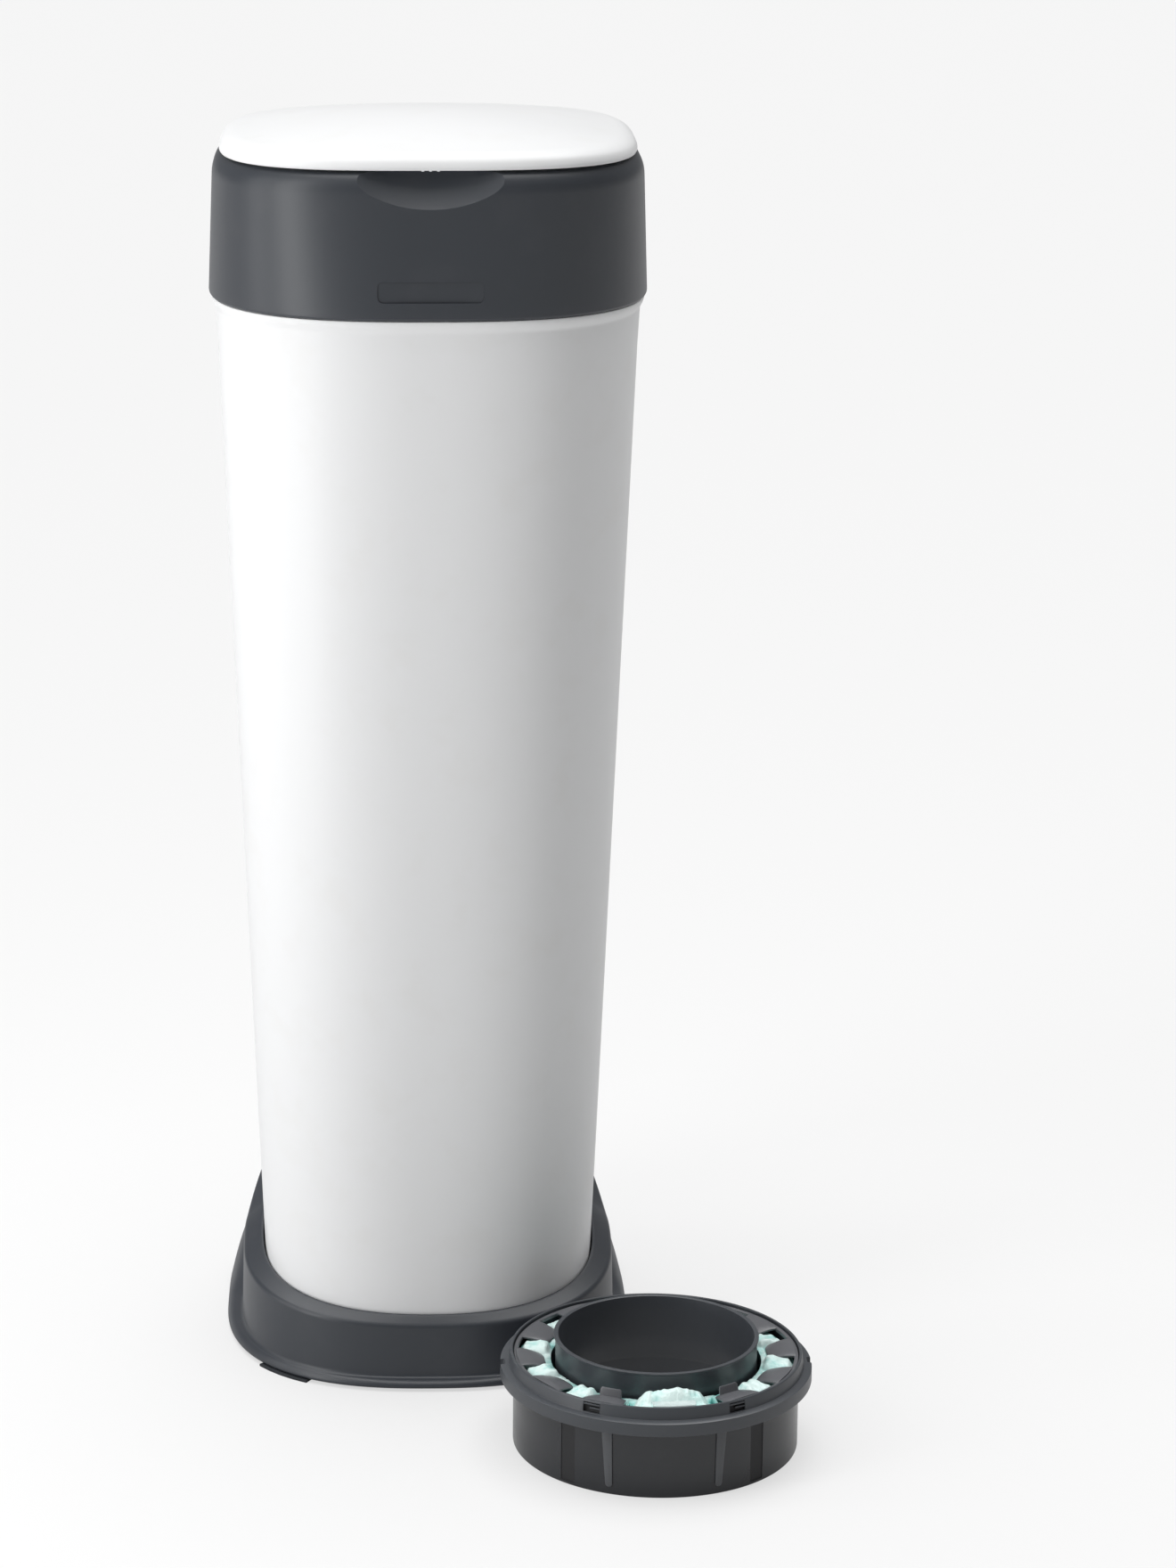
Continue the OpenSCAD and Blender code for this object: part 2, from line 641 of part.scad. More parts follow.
// A foot screwed to the pot's floor and a leaf whose tip rides the teeth
module click_spring() {
    tip_x = sqrt(pow(tooth_r + seat_gap, 2) - pow(10, 2));
    color(steel) translate([0, 0, tub_h]) difference() {
        rotate([0, 0, spring_at]) {
            translate([spring_screw_r - 4.6, spring_screw_back - 4, spring_z]) cube([7.6, 11, spring_t]);
            translate([0, 0, spring_z]) linear_extrude(tooth_z0 + tooth_h - spring_z) polygon([
                [spring_screw_r + 1.8, -9.5], [spring_screw_r + 3, -9.5], [spring_screw_r + 3, 2],
                [tip_x + 1, 10.4], [tip_x, 10], [spring_screw_r + 1.8, 1.5]]);
        }
        spring_screw_place() translate([0, 0, spring_z - 1]) screw_hole(4);
    }
}

module spring_screw() {
    color(steel) translate([0, 0, tub_h + spring_z + spring_t + seat_gap])
        spring_screw_place() mirror([0, 0, 1]) screw(pot_floor_t + 3);
}

guard_w = 26;
guard_d = 12;
guard_h = 12;
guard_y = -(sleeve_r + 17);
slot_w = 2.4;

// Block under the pot with a narrow slot that guides the film onto the blade
module cutter_guard() {
    color(dark) translate([0, guard_y, tub_h + finger_z - guard_h]) difference() {
        translate([-guard_w / 2, -guard_d / 2, 0]) cube([guard_w, guard_d, guard_h]);
        translate([-slot_w / 2, -guard_d, -1]) cube([slot_w, 2 * guard_d, guard_h - 2]);
        translate([-guard_w / 2 - 1, -0.6, 3]) cube([guard_w - 2, 1.2, guard_h - 5]);
    }
}

module cutter_blade() {
    color(steel) translate([0, guard_y, tub_h + finger_z - guard_h]) rotate([90, 0, 0])
        linear_extrude(0.6, center = true) polygon([
            [-guard_w / 2 + 1, 4], [-slot_w / 2 - 1, 4], [slot_w / 2 + 3, guard_h - 3.5],
            [-guard_w / 2 + 1, guard_h - 3.5]]);
}

// ---- Turntable ----

module turntable() {
    table_out = table_in + table_wall;
    color(dark) translate([0, 0, tub_h]) {
        rotate_extrude($fn = curve_fn) polygon([
            [sleeve_r - sleeve_t, pot_floor_z + 0.5], [sleeve_r, pot_floor_z + 0.5],
            [sleeve_r, table_floor_z], [table_out, table_floor_z],
            [table_out, rim_z - 3], [rim_r, rim_z - 3], [rim_r, rim_z + grip_h],
            [rim_r - 3, rim_z + grip_h], [rim_r - 3, rim_z], [table_in, rim_z],
            [table_in, table_floor_z + table_floor_t], [sleeve_r - sleeve_t, table_floor_z + table_floor_t]]);
        translate([0, 0, tooth_z0]) linear_extrude(tooth_h) click_teeth();
        for (k = [0, 1]) rotate([0, 0, 180 * k]) thumb_tab();
    }
}

module click_teeth() {
    step = 360 / tooth_count;
    difference() {
        polygon([for (k = [0 : tooth_count - 1]) each [
            (tooth_root + 0.4) * [cos(k * step), sin(k * step)],
            tooth_r * [cos((k + 0.85) * step), sin((k + 0.85) * step)],
            (tooth_root + 0.4) * [cos((k + 1) * step - 0.01), sin((k + 1) * step - 0.01)]]]);
        circle(r = tooth_root - 1, $fn = curve_fn);
    }
}

// A raised tab to turn the ring by
module thumb_tab() {
    rotate([0, 0, -13]) rotate_extrude(angle = 26, $fn = curve_fn)
        translate([rim_r - 4.5, rim_z + 1]) square([2.9, grip_h + 6]);
}

// ---- Cassette ----

cover_z = lip_z - 3.6;
cover_in = tube_r + 3.4;
tongue_root = cassette_r - 4;
tongue_turn = 4;                // first tongue's place, in degrees from the right
tongue_step = 360 / tongues;
slot_angle = tongue_step * 0.4;
empty_tongue = round((270 - tongue_turn) / tongue_step);
film_t = 0.6;
film_hang = 30;                 // how far the pulled film hangs inside the tube
window_at = [241, 299];         // where the clip windows lie, in degrees
rib_at = [247, 293, 67, 113];   // where the raised ribs lie
rib_w = 5;
rib_out = 0.9;                  // how far a rib stands out from the wall
strip_at = [229.5, 310.5, 49.5, 130.5];  // where the sunk strips lie
strip_angle = 6.7;
strip_deep = 0.4;

module cassette_body() {
    wall_in = cassette_r - cassette_wall;
    flange_top = flange_z + flange_h;
    lip_foot = lip_r + 0.9;
    difference() {
        union() {
            rotate_extrude($fn = curve_fn) polygon([
                [tube_r - cassette_wall, 0], [cassette_r, 0], [cassette_r, flange_z], [flange_r, flange_z],
                [flange_r, flange_top - 0.8], [flange_r - 0.8, flange_top], [lip_foot, flange_top],
                [lip_r, lip_z], [lip_r - cassette_wall, lip_z],
                [lip_r - cassette_wall, flange_z + 4], [wall_in, flange_z], [wall_in, cassette_wall],
                [tube_r, cassette_wall], [tube_r, tube_h - 1.6], [tube_r + 0.9, tube_h - 1.2],
                [tube_r + 0.9, tube_h], [tube_r - cassette_wall, tube_h]]);
            for (a = rib_at) rotate([0, 0, a])
                translate([cassette_r - rib_out, -rib_w / 2, 2]) cube([2 * rib_out, rib_w, flange_z - 3]);
        }
        for (a = strip_at) rotate([0, 0, a - strip_angle / 2])
            rotate_extrude(angle = strip_angle, $fn = curve_fn)
                translate([cassette_r - strip_deep, 1.5]) square([2 * strip_deep, flange_z - 2.5]);
        for (a = window_at) rotate([0, 0, a])
            translate([lip_r + 0.2, -4.8, flange_top + 0.2]) cube([4, 9.6, 5]);
        for (a = [0, 180]) rotate([0, 0, a])
            translate([flange_r - 2.6, -3.5, flange_z + 2]) cube([6, 7, flange_h]);
    }
}

// Ring with tongues that reach in to the tube; the two beside the empty place are ramps
module cassette_ring() {
    outer = lip_r - cassette_wall - 0.4;
    tongue_mid = (tongue_root + cover_in) / 2;
    ramp_in = cover_in + 4.5;
    difference() {
        union() {
            rotate_extrude($fn = curve_fn) polygon([
                [tongue_root, cover_z - 1.4], [outer, cover_z], [outer, cover_z + 2.2],
                [outer - 1.5, cover_z + 2], [tongue_root, cover_z], [tongue_mid, cover_z + 0.4],
                [cover_in, cover_z - 1.6], [cover_in, cover_z - 3], [tongue_mid, cover_z - 1.2]]);
            for (side = [-1, 1])
                rotate([0, 0, tongue_turn + (empty_tongue + side) * tongue_step - slot_angle * 0.65])
                    rotate_extrude(angle = slot_angle * 1.3, $fn = curve_fn) polygon([
                        [ramp_in, cover_z - 0.8], [tongue_root, cover_z - 1], [tongue_root, cover_z + 1],
                        [ramp_in + 1, cover_z + 5.6], [ramp_in, cover_z + 5.6]]);
        }
        translate([0, 0, cover_z - 6]) linear_extrude(14) intersection() {
            circle(r = tongue_root + 1.5, $fn = curve_fn);
            union() {
                for (k = [0 : tongues - 1]) rotate([0, 0, tongue_turn + (k + 0.5) * tongue_step])
                    sector(2 * tongue_root, slot_angle);
                rotate([0, 0, tongue_turn + empty_tongue * tongue_step])
                    sector(2 * tongue_root, tongue_step);
            }
        }
    }
}

// Packed film; pulled, its free end lies over the tube's rim and hangs inside
module cassette_liner(pulled) {
    low = cassette_wall + seat_gap;
    top = tube_h + seat_gap;
    film_out = cassette_r - cassette_wall - seat_gap;
    film_in = tube_r + 1.3;
    hang = tube_r - cassette_wall - seat_gap;   // outer face of the free end inside the tube
    packed = [[film_in, low], [film_out, low], [film_out, flange_z - 1], [tongue_root, cover_z - 3.4],
        [cover_in, cover_z - 5]];
    rim = [[film_in + 1, cover_z - 3], [film_in + film_t, top + film_t - 1],
        [tube_r + 0.6, top + film_t], [hang, top + film_t], [hang - film_t, top + film_t - 0.8],
        [hang - film_t, tube_h - film_hang], [hang, tube_h - film_hang], [hang, top], [film_in, top]];
    rotate_extrude($fn = curve_fn) polygon(concat(packed, pulled ? rim : [[film_in, cover_z - 4]]));
}

module cassette_clip() {
    rotate([0, 0, tongue_turn + empty_tongue * tongue_step])
        translate([tongue_root - 5, -12, cover_z + 2.2 + seat_gap]) cube([7, 24, 1.2]);
}

module fitted() {
    translate([0, 0, tub_h + cassette_z]) children();
}

module spare() {
    translate([spare_x, -spare_y, 0]) children();
}

module cassette_tub() { color(dark) fitted() cassette_body(); }
module cassette_cover() { color(grey) fitted() cassette_ring(); }
module cassette_film() { color(mint) fitted() cassette_liner(true); }
module cassette_tab() { color(clear) fitted() cassette_clip(); }
module spare_tub() { color(dark) spare() cassette_body(); }
module spare_cover() { color(grey) spare() cassette_ring(); }
module spare_film() { color(mint) spare() cassette_liner(false); }
module spare_tab() { color(clear) spare() cassette_clip(); }

// ---- Lid ----

lid_half = collar_top_half - lid_inset;
lid_z = collar_h + 0.6 + seat_gap;      // lower edge of the lid above the tub's flange
liner_z = lid_z + 0.5;
liner_t = 2;
dome_rings = [0.8, 0.6, 0.4, 0.2, 0.08];

// Height of the dome at a share of the lid's half width
function dome_z(share) = lid_side_h + 1.7 + dome_h * (1 - pow(share, 2) / 0.85);

lid_screw_at = 70;                      // both ways from the axis
lid_boss_r = screw_d / 2 + 2;

module lid_shell() {
    side = [[0.6, 0], [0, 0.8], [0.3, lid_side_h - 3.6], [1.6, lid_side_h - 1.3], [4.6, lid_side_h + 0.8],
        [9, lid_side_h + 2.1]];
    top = [for (s = dome_rings) [lid_half * (1 - s), dome_z(s)]];
    profile = concat(side, top);
    color(white) translate([0, 0, tub_h + lid_z]) difference() {
        union() {
            loft(concat(
                [for (k = [len(profile) - 1 : -1 : 2])
                    oval_ring(lid_half - profile[k][0] - lid_wall * (k > 4 ? 0.5 : 1),
                        profile[k][1] - lid_wall * (k > 4 ? 1 : 0.5), lid_n)],
                [oval_ring(lid_half - lid_wall, 0, lid_n)],
                [for (p = profile) oval_ring(lid_half - p[0], p[1], lid_n)]));
            at_corners(lid_screw_at, lid_screw_at)
                translate([0, 0, liner_t + 0.5 + seat_gap]) cylinder(r = lid_boss_r, h = 8.6, $fn = curve_fn);
            for (k = [-1 : 1]) translate([4 * k, -lid_half + 1.4, -0.5])
                cylinder(r = 0.8, h = 2, $fn = curve_fn);
        }
        at_corners(lid_screw_at, lid_screw_at) screw_hole(9);
        for (sx = [-1, 1])
            translate([sx * lid_arm_x - lid_arm_w / 2 - arm_gap, lid_half - lid_wall - 6, -1])
                cube([lid_arm_w + 2 * arm_gap, lid_wall + 9, liner_t + arm_t + 1.8 + arm_gap]);
    }
}

module lid_liner() {
    color(white) translate([0, 0, tub_h + liner_z]) difference() {
        linear_extrude(liner_t) polygon(oval_outline(lid_half - lid_wall - 1, lid_n));
        at_corners(lid_screw_at, lid_screw_at) translate([0, 0, -1]) screw_hole(liner_t + 2);
    }
}

module lid_screws() {
    color(steel) translate([0, 0, tub_h + liner_z - seat_gap])
        at_corners(lid_screw_at, lid_screw_at) screw(8, head_t = 1.2);
}

module lid_plunger() {
    wall = 2;
    color(dark) translate([0, 0, tub_h + liner_z - seat_gap]) rotate_extrude($fn = curve_fn) polygon([
        [0, -plunger_h], [plunger_r - 12, -plunger_h], [plunger_r - 4, -plunger_h + 5], [plunger_r, -4],
        [plunger_r + 6, -2], [plunger_r + 6, 0], [plunger_r - wall, 0],
        [plunger_r - 4 - wall, -plunger_h + 6 + wall], [plunger_r - 13, -plunger_h + wall],
        [0, -plunger_h + wall]]);
}

module lid_seal() {
    seal_in = throat_half + 2;
    seal_w = 3;
    z0 = step_z + seat_gap;
    z1 = liner_z - seat_gap;
    color(rubber) translate([0, 0, tub_h]) loop_loft([
        oval_ring(seal_in, z0, lid_n),
        oval_ring(seal_in + seal_w, z0, lid_n),
        oval_ring(seal_in + seal_w, z1, lid_n),
        oval_ring(seal_in, z1, lid_n)
    ]);
}

arm_t = 3;              // thickness of the arms where they lie on the liner
arm_gap = 0.5;          // between the arms and what they pass
arm_in = 26;            // how far the arms reach in from the lid's wall

// Side view of an arm: flat on the liner, out through the lid's rear wall and down to the pin
module arm_outline() {
    low = liner_z + liner_t + seat_gap;
    wall_in = lid_half - lid_wall;
    polygon([
        [wall_in - arm_in, low], [wall_in, low], [collar_top_half - 2.4, lid_z + 0.3],
        [collar_top_half + 0.6, collar_h - 3], [collar_top_half + 1.6, collar_h - 7],
        [collar_top_half + 1.6, lid_pivot_z], [lid_pivot_y + knuckle_r - 0.3, lid_pivot_z],
        [lid_pivot_y + knuckle_r - 0.3, lid_pivot_z + 4], [lid_half + 6, low + arm_t - 1.4],
        [lid_half, low + arm_t], [wall_in - arm_in, low + arm_t]]);
}

module lid_hinge_arms() {
    color(grey) translate([0, 0, tub_h]) difference() {
        for (sx = [-1, 1]) translate([sx * lid_arm_x - lid_arm_w / 2, 0, 0]) {
            translate([0, lid_pivot_y, lid_pivot_z]) rotate([0, 90, 0])
                cylinder(r = knuckle_r - 0.3, h = lid_arm_w, $fn = curve_fn);
            rotate([90, 0, 90]) linear_extrude(lid_arm_w) arm_outline();
        }
        translate([0, lid_pivot_y, lid_pivot_z]) rotate([0, 90, 0])
            cylinder(d = pin_d + 2 * run_fit, h = 4 * lid_arm_x, center = true, $fn = curve_fn);
    }
}

module lid_hinge_pin() {
    reach = lid_arm_x + lid_arm_w / 2 + knuckle_gap + lug_w;
    color(steel) translate([0, lid_pivot_y, tub_h + lid_pivot_z]) rotate([0, 90, 0])
        cylinder(d = pin_d, h = 2 * reach + 1, center = true, $fn = curve_fn);
}

base_shoe();
rubber_pads();
base_screws();
tub();
hinge_bracket();
bracket_screws();
head_hinge_pin();
head_collar();
head_chassis();
chassis_screws();
head_seal();
grip_fingers();
finger_screws();
click_spring();
spring_screw();
cutter_guard();
cutter_blade();
lid_hinge_pin();
turntable();
cassette_tub();
cassette_cover();
cassette_film();
cassette_tab();
lid_shell();
lid_liner();
lid_plunger();
lid_seal();
lid_hinge_arms();
lid_screws();
spare_tub();
spare_cover();
spare_film();
spare_tab();
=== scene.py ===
import json
import math

import bpy
from mathutils import Matrix, Vector, noise

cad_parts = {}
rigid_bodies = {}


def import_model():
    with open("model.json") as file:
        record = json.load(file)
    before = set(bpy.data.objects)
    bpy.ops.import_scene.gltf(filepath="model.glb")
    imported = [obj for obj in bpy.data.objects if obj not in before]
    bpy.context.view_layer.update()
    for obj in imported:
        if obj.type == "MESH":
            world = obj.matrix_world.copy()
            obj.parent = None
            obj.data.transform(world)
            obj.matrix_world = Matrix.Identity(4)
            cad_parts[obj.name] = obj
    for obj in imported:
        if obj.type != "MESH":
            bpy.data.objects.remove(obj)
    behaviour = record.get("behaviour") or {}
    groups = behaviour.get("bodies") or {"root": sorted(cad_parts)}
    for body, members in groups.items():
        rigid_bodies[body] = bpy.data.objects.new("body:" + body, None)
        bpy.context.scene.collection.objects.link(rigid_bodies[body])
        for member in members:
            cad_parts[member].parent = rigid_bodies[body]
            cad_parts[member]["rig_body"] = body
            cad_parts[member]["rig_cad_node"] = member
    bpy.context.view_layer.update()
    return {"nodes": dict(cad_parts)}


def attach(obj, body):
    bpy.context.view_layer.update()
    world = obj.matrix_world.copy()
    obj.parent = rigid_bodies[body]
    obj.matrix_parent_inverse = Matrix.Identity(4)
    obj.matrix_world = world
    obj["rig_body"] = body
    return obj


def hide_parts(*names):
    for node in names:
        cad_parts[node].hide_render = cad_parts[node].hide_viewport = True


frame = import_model()
mm = 0.001
wholeTurn = 2 * math.pi
print("stage: frame loaded")


# Shader maths: a wrapped socket adds nodes when it is used in an expression
class Wire:
    def __init__(self, paint, socket):
        self.paint = paint
        self.socket = socket

    def maths(self, operation, first, second):
        return self.paint.node("ShaderNodeMath", {"operation": operation}, {0: first, 1: second})

    def __add__(self, other):
        return self.maths("ADD", self, other)

    def __radd__(self, other):
        return self.maths("ADD", other, self)

    def __mul__(self, other):
        return self.maths("MULTIPLY", self, other)

    def __rmul__(self, other):
        return self.maths("MULTIPLY", other, self)

    def smooth(self, low, high):
        return self.paint.node("ShaderNodeMapRange", {"interpolation_type": "SMOOTHSTEP"},
                               {"Value": self, "From Min": low, "From Max": high})


class Paint:
    def __init__(self, name):
        self.material = bpy.data.materials.new(name)
        self.material.use_nodes = True
        self.tree = self.material.node_tree
        self.tree.nodes.clear()

    def node(self, kind, settings=None, sockets=None, output=0):
        made = self.tree.nodes.new(kind)
        for key, value in (settings or {}).items():
            if key == "stops":
                while len(made.color_ramp.elements) < len(value):
                    made.color_ramp.elements.new(0.5)
                for element, (position, shade) in zip(made.color_ramp.elements, value):
                    element.position = position
                    element.color = (*shade, 1)
            else:
                setattr(made, key, value)
        for key, value in (sockets or {}).items():
            if isinstance(value, Wire):
                self.tree.links.new(value.socket, made.inputs[key])
            else:
                made.inputs[key].default_value = value
        return Wire(self, made.outputs[output]) if made.outputs else None

    def place(self, scale=(1, 1, 1)):
        where = self.node("ShaderNodeTexCoord", output="Object")
        return self.node("ShaderNodeMapping", {}, {"Vector": where, "Scale": scale})

    def noise(self, scale, detail=2.0, stretch=(1, 1, 1)):
        return self.node("ShaderNodeTexNoise", {}, {"Vector": self.place(stretch), "Scale": scale,
                                                    "Detail": detail, "Roughness": 0.55})

    def attribute(self, name):
        return self.node("ShaderNodeAttribute", {"attribute_name": name}, output="Fac")

    def blend(self, amount, first, second):
        return self.node("ShaderNodeMix", {"data_type": "RGBA"}, {0: amount, 6: first, 7: second}, 2)

    def bump(self, height, distance, under=None):
        sockets = {"Height": height, "Distance": distance}
        if under is not None:
            sockets["Normal"] = under
        return self.node("ShaderNodeBump", {}, sockets)

    def surface(self, sockets):
        shader = self.node("ShaderNodeBsdfPrincipled", {}, sockets)
        self.node("ShaderNodeOutputMaterial", {}, {"Surface": shader})
        return self.material


def colour(red, green, blue):
    return (red, green, blue, 1)


def between(pair, share):
    low, high = pair
    return low + (high - low) * share


# Moulded plastic: fine spark grain, slow sheen changes and a little dust in patches
mouldedLook = {
    "whiteSatin": dict(base=(0.88, 0.885, 0.89), dusty=(0.86, 0.86, 0.855), rough=(0.28, 0.38),
                       grain=0.00001, specular=0.16),
    "greySatin": dict(base=(0.033, 0.038, 0.047), dusty=(0.041, 0.045, 0.054), rough=(0.36, 0.44),
                      grain=0.00001, specular=0.58),
    "darkMatte": dict(base=(0.020, 0.022, 0.026), dusty=(0.030, 0.032, 0.035), rough=(0.34, 0.46),
                      grain=0.00002, specular=0.35),
    "darkGloss": dict(base=(0.020, 0.022, 0.026), dusty=(0.026, 0.028, 0.032), rough=(0.15, 0.24),
                      grain=0.000006, specular=0.6),
    "coverSatin": dict(base=(0.115, 0.118, 0.128), dusty=(0.135, 0.138, 0.147), rough=(0.26, 0.36),
                       grain=0.000012, specular=0.45),
    "blackRubber": dict(base=(0.026, 0.029, 0.034), dusty=(0.040, 0.042, 0.046), rough=(0.60, 0.75),
                        grain=0.00004, specular=0.30),
}
mouldNoise = dict(dust=38, dustRange=(0.50, 0.72), dustShare=0.55, flow=9, flowStretch=(1, 1, 0.35),
                  flowDeep=14, flowShare=0.6, fine=1500, fineShare=0.6, coarse=420)
# Painted light on the cassette's tub: its sunk strips get painted shade and are dull, its ribs a painted
# sheen, its tube and lips a satin painted sheen
cassetteShadeAndSheen = dict(rib=(0.085, 0.090, 0.098), strip=(0.008, 0.008, 0.010), tube=(0.052, 0.058, 0.067),
                     ribRough=0.10, stripRough=0.42, tubeRough=0.08)


# Blends painted shade into the sunk strips and painted sheen onto the ribs, tube and lips, and sets their
# roughness
def paintShadeAndSheen(paint, tint, rough):
    tone = paint.attribute("tone")
    steps = {"rib": tone.smooth(0.1, 0.6), "strip": tone.smooth(-0.1, -0.6), "tube": tone.smooth(1.2, 1.8)}
    for name, share in steps.items():
        tint = paint.blend(share, tint, colour(*cassetteShadeAndSheen[name]))
        rough = rough + share * cassetteShadeAndSheen[name + "Rough"]
    return tint, rough


def mouldedPlastic(name):
    look, spark = mouldedLook[name], mouldNoise
    paint = Paint(name)
    dust = paint.noise(spark["dust"], 4).smooth(*spark["dustRange"]) * spark["dustShare"]
    flow = paint.noise(spark["flow"], 3, spark["flowStretch"])
    fine = paint.noise(spark["fine"], 2)
    coarse = paint.noise(spark["coarse"], 3)
    ripple = paint.bump(flow, look["grain"] * spark["flowDeep"])
    tint = paint.blend(dust, colour(*look["base"]), colour(*look["dusty"]))
    rough = between(look["rough"], flow * spark["flowShare"] + coarse * (1 - spark["flowShare"]))
    # The cassette's tub gets its painted shade and sheen here
    if name == "darkGloss":
        tint, rough = paintShadeAndSheen(paint, tint, rough)
    grain = fine * spark["fineShare"] + coarse * (1 - spark["fineShare"])
    return paint.surface({
        "Base Color": tint, "Roughness": rough, "Specular IOR Level": look["specular"],
        "Normal": paint.bump(grain, look["grain"], ripple)})


steelLook = dict(bright=(0.60, 0.60, 0.61), stained=(0.46, 0.45, 0.44), rough=(0.24, 0.40), grain=0.00001)


def brushedSteel(name):
    look, paint = steelLook, Paint(name)
    streak = paint.noise(260, 3, (1, 1, 14))
    stain = paint.noise(60, 4).smooth(0.45, 0.75)
    return paint.surface({
        "Base Color": paint.blend(stain, colour(*look["bright"]), colour(*look["stained"])),
        "Metallic": 1.0, "Roughness": between(look["rough"], streak),
        "Normal": paint.bump(streak, look["grain"])})


# The film's colour runs from dark teal, painted shade in its low folds, to pale mint, painted light on its
# crests
filmLook = dict(stops=[(0.08, (0.040, 0.24, 0.22)), (0.26, (0.18, 0.52, 0.48)), (0.44, (0.44, 0.78, 0.74)),
                       (0.74, (0.76, 0.93, 0.90))],
                foldShadeShare=0.92, creaseShadeShare=0.12, rough=(0.22, 0.42), specular=0.5, creaseDeep=0.0003)


def filmPlastic(name):
    look, paint = filmLook, Paint(name)
    crease = paint.noise(700, 3, (1, 1, 0.5))
    # Painted shade: low folds and fine creases pick the darker teal, crests the paler mint
    height = paint.attribute("fold") * look["foldShadeShare"] + crease * look["creaseShadeShare"]
    return paint.surface({
        "Base Color": paint.node("ShaderNodeValToRGB", {"stops": look["stops"]}, {"Fac": height}),
        "Roughness": between(look["rough"], crease), "Specular IOR Level": look["specular"],
        "Normal": paint.bump(crease, look["creaseDeep"])})


clearLook = dict(clear=(0.86, 0.92, 0.92), hazy=(0.70, 0.80, 0.80), rough=(0.12, 0.24), alpha=(0.42, 0.62),
                 hazeDeep=0.0001)


def clearPlastic(name):
    look, paint = clearLook, Paint(name)
    haze = paint.noise(240, 3)
    return paint.surface({
        "Base Color": paint.blend(haze, colour(*look["clear"]), colour(*look["hazy"])),
        "Roughness": between(look["rough"], haze), "Alpha": between(look["alpha"], haze),
        "Normal": paint.bump(haze, look["hazeDeep"])})


finishes = {name: mouldedPlastic(name) for name in mouldedLook}
finishes["steel"] = brushedSteel("steel")
finishes["film"] = filmPlastic("film")
finishes["clear"] = clearPlastic("clear")
print("stage: finishes ready")


# Small helpers round Blender's own tools
def clean():
    if bpy.context.object is not None and bpy.context.object.mode != "OBJECT":
        bpy.ops.object.mode_set(mode="OBJECT")
    bpy.ops.object.select_all(action="DESELECT")


def pick(*pieces):
    clean()
    for piece in pieces:
        piece.select_set(True)
    bpy.context.view_layer.objects.active = pieces[0]


def close(piece, merge=0.000004):
    pick(piece)
    bpy.ops.object.mode_set(mode="EDIT")
    bpy.ops.mesh.select_all(action="SELECT")
    bpy.ops.mesh.remove_doubles(threshold=merge)
    bpy.ops.mesh.normals_make_consistent(inside=False)
    bpy.ops.object.mode_set(mode="OBJECT")
    return piece


def modify(piece, kind, **settings):
    pick(piece)
    added = piece.modifiers.new(kind.lower(), kind)
    for key, value in settings.items():
        setattr(added, key, value)
    bpy.ops.object.modifier_apply(modifier=added.name)
    return piece


def cut(piece, cutter):
    modify(piece, "BOOLEAN", object=cutter, operation="DIFFERENCE", solver="EXACT")
    bpy.data.objects.remove(cutter)
    return piece


def softEdges(piece, width, segments=2, angle=32):
    return modify(piece, "BEVEL", width=width * mm, segments=segments, limit_method="ANGLE",
                  angle_limit=math.radians(angle), use_clamp_overlap=True, harden_normals=False)


def copyOf(piece, name, matrix):
    twin = piece.copy()
    twin.data = piece.data.copy()
    twin.name = name
    bpy.context.scene.collection.objects.link(twin)
    twin.data.transform(matrix)
    return twin


def joined(pieces, name):
    pick(*pieces)
    bpy.ops.object.join()
    pieces[0].name = name
    return pieces[0]


def dress(piece, body, finish, *nodes, angle=32):
    pick(piece)
    bpy.ops.object.shade_smooth_by_angle(angle=math.radians(angle))
    piece.data.materials.clear()
    piece.data.materials.append(finishes[finish])
    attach(piece, body)
    if nodes:
        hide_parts(*nodes)
    return piece


# Each corner of an outline is rounded by its own reach
def softened(points, cuts, steps=4):
    made = []
    for index, here in enumerate(points):
        reach = cuts[index]
        if reach == 0 or index in (0, len(points) - 1):
            made.append(here)
            continue
        back, ahead = points[index - 1] - here, points[index + 1] - here
        start = here + back * min(0.5, reach / max(back.length, 1e-6))
        end = here + ahead * min(0.5, reach / max(ahead.length, 1e-6))
        for step in range(steps + 1):
            u = step / steps
            made.append(start * (1 - u) ** 2 + here * 2 * u * (1 - u) + end * u * u)
    return made


def outlineOf(rows, steps=4):
    return softened([Vector(row[:2]) for row in rows], [row[2] if len(row) > 2 else 0 for row in rows], steps)


def dense(points, gap):
    made = [points[0]]
    for before, after in zip(points, points[1:]):
        count = max(1, math.ceil((after - before).length / gap))
        made += [before.lerp(after, (k + 1) / count) for k in range(count)]
    return made


def arcPoints(centre, radius, first, step, count):
    turns = [math.radians(first + step * k) for k in range(count)]
    return [Vector((centre[0] + radius * math.cos(a), centre[1] + radius * math.sin(a))) for a in turns]


def smoothStep(value):
    share = min(max(value, 0), 1)
    return share * share * (3 - 2 * share)


def ovalRadius(turn, wide, deep, square):
    return (abs(math.sin(turn) / wide) ** square + abs(math.cos(turn) / deep) ** square) ** (-1 / square)


def ovalPoint(turn, half, up, square):
    reach = ovalRadius(turn, half, half, square) if half > 0 else 0
    return Vector((reach * math.sin(turn), -reach * math.cos(turn), up))


